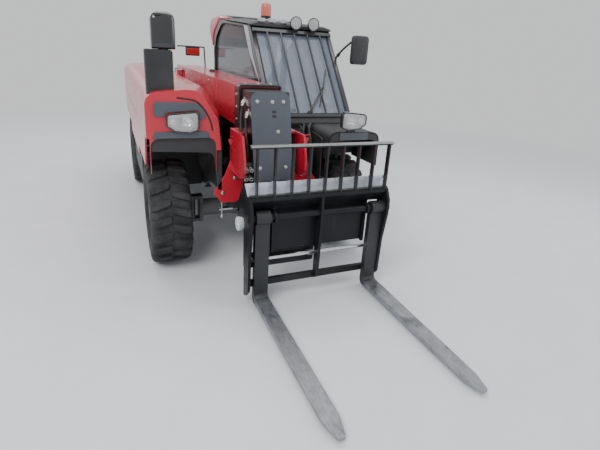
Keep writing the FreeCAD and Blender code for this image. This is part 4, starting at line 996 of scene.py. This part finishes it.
def cushion(name, blocks, most, frames=20):
    """Padded cloth form from blocks (x0, x1, outline), blown up by simulation but nowhere by more than most."""
    k = Kit()
    for x0, x1, outline in blocks:
        k.prism(outline, "x", x0, x1)
    o = k.done(name, "cloth", body=None)
    o.data.materials.clear()
    mod = o.modifiers.new("bevel", "BEVEL")
    mod.width = 0.02
    mod.segments = 3
    mod = o.modifiers.new("remesh", "REMESH")
    mod.mode = "VOXEL"
    mod.voxel_size = 0.0065
    bake(o)
    rest = [v.co.copy() for v in o.data.vertices]
    cl = o.modifiers.new("cloth", "CLOTH")
    cl.settings.use_pressure = True
    cl.settings.uniform_pressure_force = 4.0
    cl.settings.effector_weights.gravity = 0.0
    cl.settings.quality = 4
    cl.settings.tension_stiffness = 12.0
    cl.settings.compression_stiffness = 12.0
    cl.settings.bending_stiffness = 0.6
    cl.point_cache.frame_start = 1
    cl.point_cache.frame_end = frames
    for f in range(1, frames + 1):
        bpy.context.scene.frame_set(f)
    bake(o)
    bpy.context.scene.frame_set(1)
    for v, r in zip(o.data.vertices, rest):
        move = v.co - r
        if move.length > most:
            v.co = r + move * (most / move.length)
    sub = o.modifiers.new("subdivide", "SUBSURF")
    sub.levels = sub.render_levels = 1
    o.data.materials.append(M["cloth"])
    o.data.shade_smooth()
    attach(o, "chassis")
    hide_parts("seat")


def seat():
    base = [(0.79, 0.775), (0.785, 0.835), (1.17, 0.858), (1.17, 0.775)]
    side = [(0.785, 0.79), (0.778, 0.862), (1.16, 0.885), (1.16, 0.79)]
    cushion("seat_cushion", [(0.285, 0.685, base), (0.275, 0.33, side), (0.64, 0.695, side)], 0.022)
    back = [(1.215, 0.885), (1.292, 1.375), (1.322, 1.375), (1.262, 0.885)]
    wing = [(1.19, 0.9), (1.268, 1.33), (1.315, 1.33), (1.255, 0.9)]
    cushion("seat_back_cushion", [(0.295, 0.675, back), (0.285, 0.335, wing), (0.635, 0.685, wing)], 0.018)
    k = Kit()
    shell = rounded([(1.262, 0.87), (1.335, 1.36, 0.02), (1.345, 1.34, 0.02), (1.29, 0.86, 0.02)], 3)
    k.skinned("x", shell, [(0.29, -0.003), (0.3, 0.001), (0.67, 0.001), (0.68, -0.003)])
    k.pad("x", (0.8, 0.762), (1.235, 0.782), 0.275, 0.695, 0.01)
    # Bellows under the seat, each ring with its half width
    folds = [(0.532, 0.15), (0.6, 0.15), (0.615, 0.145), (0.63, 0.135), (0.645, 0.148), (0.66, 0.135), (0.675, 0.148),
             (0.69, 0.135), (0.705, 0.148), (0.72, 0.138), (0.735, 0.15), (0.765, 0.15)]
    k.loft([[(x, y, z) for x, y in slab((SEAT_X - w, 1.05 - w * 1.2), (SEAT_X + w, 1.05 + w * 1.2), 0.03)]
            for z, w in folds])
    for x in (0.262, 0.684):
        k.pad("x", (0.98, 1.0), (1.24, 1.03), x, x + 0.026, 0.012)
    k.done("seat_shell", "plastic", 0.002, instead="seat")


# Front of the machine


def front_bodywork():
    """Low mudguard on the left with its lamp on an arm, and slate plates round both headlamps."""
    over = [(0.905, 0.826), (0.905, 1.105, 0.08), (0.45, 1.115, 0.08), (0.43, 0.9)]
    arch = over + [(0.442, 0.9), (0.462, 1.103, 0.068), (0.893, 1.093, 0.068), (0.893, 0.826)]
    sheet("mudguard_left", "y", [arch], NOSE_Y, -0.43, bevel=0.003, instead="fender_front_left")
    wall = over + [(0.455, 0.9), (0.472, 1.045, 0.06), (0.878, 1.045, 0.06), (0.878, 0.826)]
    sheet("mudguard_left_wall", "y", [wall], NOSE_Y, -0.823, bevel=0.002, instead="fender_front_left")
    sheet("lamp_plate_left", "y", [[(0.535, 1.047, 0.008), (0.535, 1.108, 0.008), (0.79, 1.104, 0.008),
                                    (0.79, 1.047, 0.008)]], -0.843, NOSE_Y, "slate", instead="lamp_panels")
    k = Kit()
    k.tube([(0.635, -0.829, 1.09), (0.635, -0.829, 1.14), (0.635, -0.826, 1.19)], 0.014, 12, 3)
    k.pad("y", (0.6, 1.1), (0.67, 1.125), -0.84, -0.815, 0.006)
    k.done("lamp_arm_left", "plastic", 0.0015, instead="lamp_panels")
    upper = [(-0.855, 1.235, 0.02), (-0.85, 1.33, 0.025), (-0.565, 1.33, 0.08), (-0.503, 1.236, 0.03), (-0.556, 1.206),
             (-0.556, 1.278, 0.02), (-0.782, 1.262, 0.02), (-0.782, 1.235)]
    lower = [(-0.864, 1.091), (-0.85, 1.135, 0.02), (-0.5, 1.135, 0.015), (-0.488, 1.091)]
    for name, line in (("upper", upper), ("lower", lower)):
        sheet(f"lamp_panel_{name}", "y", [line], *PLATE_Y, "slate", 0.002, instead="lamp_panels")


def nose():
    """Red plates at the front of the chassis with their bolts, a hanging eye and the rails behind them."""
    zinc, k = Kit(), Kit()
    plate = [(0, 1.085, 0.012), (0.133, 1.07, 0.012), (0.103, 1.0, 0.06), (0.112, 0.923, 0.06), (0.155, 0.812, 0.06),
             (0.244, 0.68, 0.02), (0.178, 0.597, 0.03), (0.056, 0.597, 0.03), (0, 0.795, 0.06)]
    for sign, inner, name in ((-1, -0.222, "right"), (1, 0.15, "left")):
        line = [(inner + sign * x, z, r) for x, z, r in plate]
        sheet(f"nose_plate_{name}", "y", [line], -0.822, -0.808, "red", 0.003)
        k.prism([(-0.82, 1.083), (-0.858, 1.096), (-0.858, 1.104), (-0.815, 1.092)], "x",
                *sorted((inner + sign * 0.012, inner + sign * 0.12)))
        for dx, z in ((0.17, 0.675), (0.081, 0.785)):
            zinc.bolt((inner + sign * dx, -0.822, z), (0, -1, 0), 0.011, 0.009)
    k.done("nose_lips", "red", 0.002)
    zinc.rod((-0.4, -0.815, 0.61), (-0.4, -0.815, 0.497), 0.0045, 12)
    zinc.lathe([(-0.012, 0.0), (-0.011, 0.006), (-0.006, 0.0105), (0.0, 0.012), (0.006, 0.0105), (0.011, 0.006),
                (0.012, 0.0)], (-0.4, -0.815, 0.488), (0, 0, 1), 20)
    zinc.done("nose_bolts", "zinc", 0.0008)
    front = [(-0.808, 0.56), (-0.808, 1.0), (-0.768, 1.0, 0.03), (-0.68, 0.86, 0.06), (-0.42, 0.77, 0.06)]
    cut = [(0.185, 0.77), (0.185, 0.5), (1.4, 0.5), (1.4, 0.77)]
    under = [(0.25, 0.38, 0.06), (0.05, 0.5, 0.06), (-0.7, 0.525, 0.06)]
    for name, x, top, y in (("right", -0.33, front, 1.3), ("left", 0.31, front + cut, 1.5)):
        step = 0.2 if name == "right" else 0.16
        line = top + [(2.4, 0.77, 0.02), (2.4, 0.525, 0.02), (y + step, 0.525, 0.06), (y, 0.38, 0.06)] + under
        sheet(f"chassis_rail_{name}", "x", [line], x, x + 0.02, "black", 0.002, instead="chassis_rails")


def carriage():
    """Coupler plate with its ears, hooks and pins, and the fittings at its right end."""
    outline = [(-0.345, 0.25, 0.02), (-0.345, 0.74, 0.03), (BOOM_X - 0.04, 0.74, 0.01), (BOOM_X - 0.04, 0.56, 0.02),
               (BOOM_X + 0.04, 0.56, 0.02), (BOOM_X + 0.04, 0.74, 0.01), (0.18, 0.74, 0.03), (0.18, 0.25, 0.02)]
    holes = [[(x0, 0.36, 0.03), (x0, 0.5, 0.03), (x1, 0.5, 0.03), (x1, 0.36, 0.03)]
             for x0, x1 in ((-0.31, -0.235), (0.055, 0.14))]
    on_coupler = {"material": "carriage", "bevel": 0.002, "body": "coupler", "instead": "coupler"}
    sheet("coupler_plate", "y", [outline, *holes], *COUPLER_Y, **on_coupler)
    ear = [(-1.22, 0.25), (-1.22, 0.42), (-1.13, 0.38, 0.04), (-1.1, 0.33, 0.04), (-1.13, 0.275, 0.04)]
    lug = [(-1.215, 0.59), (-1.215, 0.735), (-1.165, 0.7, 0.03), (-1.14, 0.66, 0.03), (-1.165, 0.62, 0.03)]
    for name, line, wide, places in (("ear", ear, 0.025, (-0.125, 0.1)), ("lug", lug, 0.02, (-0.06, 0.04))):
        for i, dx in enumerate(places):
            sheet(f"coupler_{name}_{i}", "x", [line], BOOM_X + dx, BOOM_X + dx + wide, **on_coupler)
    k = Kit()
    k.lathe([(0, 0.02), (0.004, 0.025), (0.246, 0.025), (0.25, 0.02)], (BOOM_X - 0.125, -1.145, 0.33), (1, 0, 0), 28)
    for x in (-0.3, 0.12):
        k.lathe([(0, 0.0145), (0, 0.018), (0.002, 0.02), (0.038, 0.02), (0.04, 0.018), (0.04, 0.0145)],
                (x, -1.26, 0.325), (1, 0, 0), 28, False)
        k.pad("x", (-1.246, 0.31), (-1.23, 0.34), x, x + 0.04, 0.002, 2)
    k.done("coupler_pins", "bolt", 0.001, "coupler", "coupler")
    lock = (-0.335, -1.19, 0.575)
    k.lathe([(0, 0.03), (0.01, 0.04), (0.022, 0.046), (0.046, 0.048), (0.05, 0.045), (0.05, 0.03), (0.053, 0.028)],
            lock, (-1, 0, 0), 36)
    k.done("lock_cylinder_cap", "white", body="coupler", angle=40)
    k.rod(lock, (-0.215, *lock[1:]), 0.036, 28)
    k.prism(rounded([(-1.215, 0.535, 0.004), (-1.165, 0.535, 0.02), (-1.165, 0.615, 0.02), (-1.215, 0.615, 0.004)], 3),
            "x", -0.27, -0.255)
    k.done("lock_cylinder", "carriage", 0.001, "coupler")
    # Hydraulic couplings on a bracket at the boom head's right side
    zinc, k = Kit(), Kit()
    k.prism(rounded([(-0.319, 0.84, 0.01), (-0.252, 0.84, 0.01), (-0.252, 0.965, 0.015), (-0.319, 0.965, 0.015)], 3),
            "y", -1.085, -1.077)
    k.prism([(-1.08, 0.88), (-0.99, 0.9), (-0.99, 0.95), (-1.08, 0.95)], "x", -0.258, -0.252)
    for x, z in ((-0.303, 0.93), (-0.269, 0.93), (-0.303, 0.87), (-0.269, 0.87)):
        at, ahead = (x, -1.079, z), (0, -1, -0.25)
        zinc.lathe([(0, 0.009), (0.01, 0.009), (0.01, 0.014), (0.022, 0.014), (0.022, 0.012), (0.032, 0.012),
                    (0.033, 0.0155), (0.05, 0.0155), (0.052, 0.013), (0.052, 0.009), (0.046, 0.008)], at, ahead, 24)
        zinc.lathe([(0, 0.0125), (0.009, 0.0125)], at, ahead, 6)
        zinc.rod((x, -1.08, z), (x, -1.035, z + 0.004), 0.0125, 6)
    zinc.done("hydraulic_couplings", "zinc", 0.0006, "boom_inner")
    k.done("couplings_bracket", "black", 0.001, "boom_inner")


# Boom, chassis and body details


def hose(name, body, points, diameter):
    """Hydraulic hose through the given points."""
    curve = bpy.data.curves.new(name, "CURVE")
    curve.dimensions = "3D"
    spline = curve.splines.new("NURBS")
    spline.points.add(len(points) - 1)
    for q, p in zip(spline.points, points):
        q.co = (*p, 1.0)
    spline.order_u = 3
    spline.use_endpoint_u = True
    spline.resolution_u = 12
    bare = new_object(name, curve)
    line = bpy.data.meshes.new_from_object(bare.evaluated_get(bpy.context.evaluated_depsgraph_get()))
    bpy.data.objects.remove(bare)
    bpy.data.meshes.remove(line)
    curve.bevel_depth = diameter / 2
    curve.bevel_resolution = 3
    curve.use_fill_caps = True
    curve.materials.append(M["hose"])
    o = new_object(name, curve)
    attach(o, body)


def boom_details():
    k = Kit()
    (x0, x1), (z0, z1) = BOOM_SIDES, BOOM_HEIGHT
    k.ring(slab((x0, z0), (x1, z1), 0.02, 4), -0.788, -0.672, 0.003, 0.0105)
    k.done("boom_collar", "black", 0.0025, "boom")
    for x in (x0 + 0.06, BOOM_X, x1 - 0.06):
        k.bolt((x, -0.73, z1 + 0.003), (0, 0, 1), 0.008)
    for z in (z0 + 0.07, z0 + 0.157, z1 - 0.07):
        k.bolt((x0 - 0.003, -0.73, z), (-1, 0, 0), 0.008)
        k.bolt((x1 + 0.003, -0.73, z), (1, 0, 0), 0.008)
    for y in (0.3, 1.2):
        k.bolt((x0 + 0.0115, y, 1.39), (-1, 0, 0), 0.008)
    k.done("boom_bolts", "zinc", 0.0006, "boom")
    # Caps of the boom's pivot pin, on the tower's side plates
    for x, d in ((-0.31, -1), (0.31, 1)):
        k.lathe([(0, 0.058), (0.008, 0.058), (0.011, 0.054), (0.011, 0.03), (0.014, 0.028)], (x, PIVOT_Y, PIVOT_Z),
                (d, 0, 0), 32)
        for y, z in circle(0.044, 3, turn=0.5):
            k.bolt((x + d * 0.011, PIVOT_Y + y, PIVOT_Z + z), (d, 0, 0), 0.005, 0.004, False)
    k.done("pivot_caps", "bolt", 0.001)
    # Round cap on the boom's top
    k.lathe([(0, 0.03), (0.012, 0.03), (0.018, 0.024), (0.018, 0.01), (0.024, 0.009)], (-0.08, 0.98, 1.435),
            (0, 0, 1), 28)
    k.done("boom_cap", "plastic", 0.001, "boom")


def head_details():
    """Bolts of the head's front cover, black patches painted as the shade inside its slots, and the hoses that feed the
    carriage.
    """
    lean, base = math.radians(13.4), 0.84
    out = Vector((0.0, -math.cos(lean), math.sin(lean)))
    foot = Vector((0.0, -1.134, base))
    up = Vector((0.0, math.sin(lean), math.cos(lean)))
    k = Kit()
    for x, z in ((-0.099, 1.358), (-0.066, 1.166), (-0.205, 1.36), (-0.02, 1.36), (-0.205, 0.93), (-0.02, 0.93)):
        p = foot + up * ((z - base) / math.cos(lean))
        k.bolt((x, p.y, p.z), out, 0.0095)
    k.done("cover_bolts", "zinc", 0.0006, "boom_inner")
    # Two black patches on the cover: painted shade standing in for the insides of its slots
    for down in (0.0, 0.03):
        at = foot + up * (0.455 / math.cos(lean) - down)
        k.prism(slab((-0.104, -0.008), (-0.074, 0.008), 0.006), "y", -0.0015, 0.0,
                Matrix.Translation(at) @ Matrix.Rotation(-lean, 4, "X"))
    k.done("cover_slot_shade", "seal", 0.0004, "boom_inner")
    for y, z in ((-0.86, 1.353), (-0.956, 1.285)):
        k.lathe([(0, 0.013), (0.012, 0.013), (0.013, 0.0155), (0.03, 0.0155), (0.031, 0.011), (0.045, 0.011)],
                (-0.252, y, z), (-0.35, -0.25, -0.9), 6)
        k.lathe([(0, 0.02), (0.006, 0.02), (0.008, 0.012)], (-0.246, y, z), (-1, 0, 0), 20)
    k.done("hose_ends", "zinc", 0.0006, "boom_inner")
    hose("head_hose_1", "boom_inner", [(-0.268, -0.871, 1.312), (-0.274, -0.876, 1.27), (-0.292, -0.92, 1.19),
                                       (-0.3, -0.985, 1.1), (-0.3, -1.02, 1.02), (-0.3, -1.03, 0.96),
                                       (-0.302, -1.032, 0.93)], 0.019)
    hose("head_hose_2", "boom_inner", [(-0.268, -0.967, 1.244), (-0.274, -0.98, 1.2), (-0.276, -1.01, 1.12),
                                       (-0.272, -1.03, 1.04), (-0.27, -1.032, 0.97), (-0.27, -1.032, 0.93)], 0.019)


def front_chassis():
    """Axle casings, steering rams, drive shaft, black well liners that also stand in for the shade in the wells, and
    hoses between the wheels and under the screen.
    """
    k, chrome = Kit(), Kit()
    for y in AXLE_Y.values():
        k.lathe([(-0.25, 0.07), (-0.17, 0.085), (-0.13, 0.13), (-0.07, 0.152), (0.02, 0.158), (0.08, 0.145),
                 (0.12, 0.11), (0.16, 0.085), (0.25, 0.07)], (0.0, y, WHEEL_Z), (1, 0, 0), 40)
    for y, d in ((-0.25, 1), (1.78, -1)):
        k.lathe([(0, 0.085), (0.03, 0.085), (0.05, 0.07), (0.15, 0.06), (0.17, 0.045)], (0.0, y, 0.43), (0, d, 0.03),
                28)
    k.done("axle_casings", "iron", 0.002)
    for y, back in ((-0.545, 0.07), (2.075, -0.07)):
        k.rod((-0.2, y, 0.45), (0.2, y, 0.45), 0.036, 28)
        for x in (-0.2, 0.18):
            k.rod((x, y, 0.45), (x + 0.02, y, 0.45), 0.043, 28)
        chrome.rod((-0.36, y, 0.45), (0.36, y, 0.45), 0.016, 20)
        for x in (-0.14, 0.1):
            k.prism([(y - back / 2, 0.405), (y + back, 0.405), (y + back, 0.48), (y - back / 2, 0.49)],
                    "x", x, x + 0.03)
    k.rod((0.0, -0.09, 0.435), (0.0, 1.62, 0.435), 0.03, 20)
    for y in (-0.1, 1.58):
        k.lathe([(0, 0.045), (0.012, 0.05), (0.03, 0.05), (0.042, 0.045)], (0, y, 0.435), (0, 1, 0), 24)
    k.done("steering_rams", "black", 0.0015)
    chrome.done("steering_rods", "chrome", 0.001)
    # Black liners of both front wheel wells, dark sheets that also stand in for the shade inside the wells
    sheet("well_liner_right", "x", [[(-0.8, 0.66, 0.02), (-0.8, 1.07, 0.03), (0.1, 1.07, 0.03), (0.1, 0.66, 0.02)]],
          -0.4, -0.392)
    sheet("well_front_right", "y", [[(-0.88, 1.0), (-0.88, 1.1, 0.03), (-0.4, 1.1), (-0.4, 0.7), (-0.43, 0.7, 0.02),
                                     (-0.455, 0.98, 0.06)]], -0.822, -0.816)
    sheet("well_liner_left", "y", [[(0.452, 0.845), (0.47, 1.098, 0.06), (0.885, 1.09, 0.06), (0.893, 0.845)]],
          -0.442, -0.432, instead="fender_front_left")
    sheet("well_side_left", "x", [[(-0.8, 0.62, 0.02), (-0.8, 1.06, 0.03), (-0.39, 1.1), (-0.39, 0.62, 0.02)]],
          0.4, 0.408)
    # Scuttle under the screen with its grille
    line = [(-0.385, 1.09), (-0.43, 1.07, 0.02), (-0.44, 1.12, 0.02), (-0.4, 1.175, 0.02), (-0.385, 1.178)]
    k.prism(rounded(line, 3), "x", 0.14, 0.86)
    for x in (0.2 + i * 0.03 for i in range(9)):
        k.prism([(-0.438, 1.12), (-0.441, 1.12), (-0.41, 1.164), (-0.405, 1.164)], "x", x, x + 0.008)
    k.done("scuttle", "plastic", 0.002)
    k.pad("y", (0.268, 0.77), (0.372, 0.83), -0.74, -0.63, 0.01, 2)
    ports = ((0.295, -0.71), (0.345, -0.71), (0.295, -0.66), (0.345, -0.66))
    for x, y in ports:
        k.lathe([(0, 0.016), (0.02, 0.016), (0.021, 0.013), (0.035, 0.013)], (x, y, 0.828), (0, 0, 1), 6)
    k.done("valve_block", "black", 0.002)
    for i, (x, y) in enumerate(ports):
        up = 0.014 * i
        hose(f"front_hose_{i + 1}", "chassis", [
            (x, y, 0.86), (x, y, 0.93), (x + 0.01, y + 0.02, 1.01 + up), (x + 0.03, -0.6, 1.075 + up),
            (x + 0.05 + up, -0.5, 1.1 + up), (x + 0.06 + up, -0.44, 1.09), (x + 0.065 + up, -0.402, 1.075)], 0.02)


def bonnet_details():
    """Seal round the nose's lamp plates, louvres and hinges of the engine cover, and the tank's cap."""
    k = Kit()
    arc = [(-0.7, 1.357), (-0.654, 1.352), (-0.582, 1.339), (-0.53, 1.293), (-0.497, 1.24), (-0.477, 1.19),
           (-0.468, 1.14)]
    k.tube([(x, -0.834, z) for x, z in arc], 0.006, 8, 5)
    k.done("nose_seal", "seal", angle=60)
    for z in (0.85 + i * 0.024 for i in range(9)):
        k.prism([(-0.9, z), (-0.9045, z + 0.004), (-0.9045, z + 0.012), (-0.9, z + 0.014)], "y", 1.5, 1.95)
    k.done("side_louvres", "plastic", 0.0008)
    for y in (0.5, 2.0):
        k.rod((-0.463, y - 0.06, 1.462), (-0.463, y + 0.06, 1.462), 0.009, 16)
    k.done("bonnet_hinges", "black", 0.001)
    k.lathe([(0, 0.045), (0.016, 0.045), (0.022, 0.04), (0.024, 0.03)], (-0.6, 0.42, 0.75), (0, 0, 1), 32)
    k.pad("z", (-0.63, 0.41), (-0.57, 0.43), 0.772, 0.784, 0.004, 2)
    k.done("tank_cap", "plastic", 0.0015)


def door_details():
    """Door handle, cab step with its grab rail, the rear face of the counterweight and its towing pin."""
    k = Kit()
    z = 0.845
    k.pad("x", (0.262, z - 0.02), (0.412, z + 0.02), 0.874, 0.882, 0.008)
    k.tube([(0.878, 0.282, z), (0.9, 0.292, z), (0.9, 0.372, z), (0.878, 0.382, z)], 0.007, 10, 4)
    k.lathe([(0, 0.009), (0.004, 0.008)], (0.882, 0.398, z), (1, 0, 0), 20)
    k.done("door_handle", "plastic", 0.0012, "cab_door")
    for y in (0.5, 0.98):
        k.prism(rounded([(0.84, 0.52), (0.84, 0.33, 0.02), (0.9, 0.33, 0.01), (0.9, 0.345, 0.01), (0.855, 0.35, 0.02),
                         (0.855, 0.52)], 3), "y", y, y + 0.012)
    k.box((0.74, 0.47, 0.33), (0.9, 1.02, 0.338))
    for x in (0.75 + i * 0.03 for i in range(5)):
        k.box((x, 0.49, 0.338), (x + 0.006, 1.0, 0.346))
    k.tube([(0.882, 1.36, 0.95), (0.91, 1.36, 0.97), (0.91, 1.36, 1.5), (0.882, 1.36, 1.52)], 0.011, 12, 5)
    k.done("cab_step", "black", 0.0015)
    outline = [(-0.8, 0.47, 0.06), (-0.8, 1.0, 0.06), (0.8, 1.0, 0.06), (0.8, 0.47, 0.06)]
    pocket = [(-0.11, 0.55, 0.03), (-0.11, 0.74, 0.03), (0.11, 0.74, 0.03), (0.11, 0.55, 0.03)]
    holes = [circle(0.03, 16, lambda a, b: (x + a, 0.9 + b)) for x in (-0.6, 0.6)]
    sheet("counterweight_face", "y", [outline, pocket, *holes], 2.485, REAR_Y, "black", 0.008, instead="counterweight")
    k.box((-0.78, 2.4, 0.75), (0.78, 2.488, 0.98))
    k.box((-0.42, 2.4, 0.5), (0.42, 2.488, 0.78))
    k.done("counterweight_core", "black", 0.01, instead="counterweight")
    k.lathe([(0, 0.016), (0.2, 0.016), (0.205, 0.028), (0.213, 0.028)], (0, 2.506, 0.545), (0, 0, 1), 24)
    for z in (0.6, 0.68):
        k.box((-0.05, 2.488, z), (0.05, 2.53, z + 0.012))
    k.done("tow_pin", "zinc", 0.001)


def guard_details():
    """Bright steel strip painted on the guard's top rail as its highlight, the feet of its posts painted silver as
    their glints, and the collars of the forks' shaft.
    """
    low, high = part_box("guard")
    k = Kit()
    # Bare steel strip along the top rail's front edge: a painted highlight on the rail's lit top
    k.prism(rounded([(low.y - 0.0008, high.z - 0.011), (low.y - 0.0008, high.z + 0.0008, 0.004),
                     (high.y, high.z + 0.0008, 0.004), (high.y, high.z - 0.004)], 2),
            "x", low.x - 0.0005, high.x + 0.0005)
    k.done("rail_wear", "bolt", 0.0005, "fork_carriage")
    # The posts' flared feet are painted silver: painted glints on the black guard
    for x in (-0.297 + 0.12 * i for i in range(9)):
        k.prism([(x - 0.018, 0.869), (x + 0.018, 0.869), (x + 0.008, 0.895), (x - 0.008, 0.895)], "y", -1.309, -1.303)
        k.pad("y", (x - 0.022, 0.869), (x + 0.022, 0.873), -1.305, -1.262)
    k.done("post_feet", "silver_and_painted_reflection", 0.0008, "fork_carriage")
    for x in (-0.335, -0.165, 0.535, 0.705):
        k.lathe([(0, 0.0275), (0, 0.04), (0.004, 0.042), (0.012, 0.042), (0.016, 0.04), (0.016, 0.0275)],
                (x - 0.008, SHAFT_Y, SHAFT_Z), (1, 0, 0), 28, False)
    for x, d in ((-0.348, -1), (0.688, 1)):
        k.lathe([(0, 0.03), (0.006, 0.03), (0.009, 0.026)], (x, SHAFT_Y, SHAFT_Z), (d, 0, 0), 28)
    k.done("shaft_collars", "carriage", 0.001, "fork_carriage")


for build in (camera, studio, finish_nodes, wheels, headlights, work_lamps, beacon, rear_lamps, mirrors, cab_shell,
              glazing, wiper, controls, seat, front_bodywork, nose, carriage, boom_details, head_details,
              front_chassis, bonnet_details, door_details, guard_details):
    build()
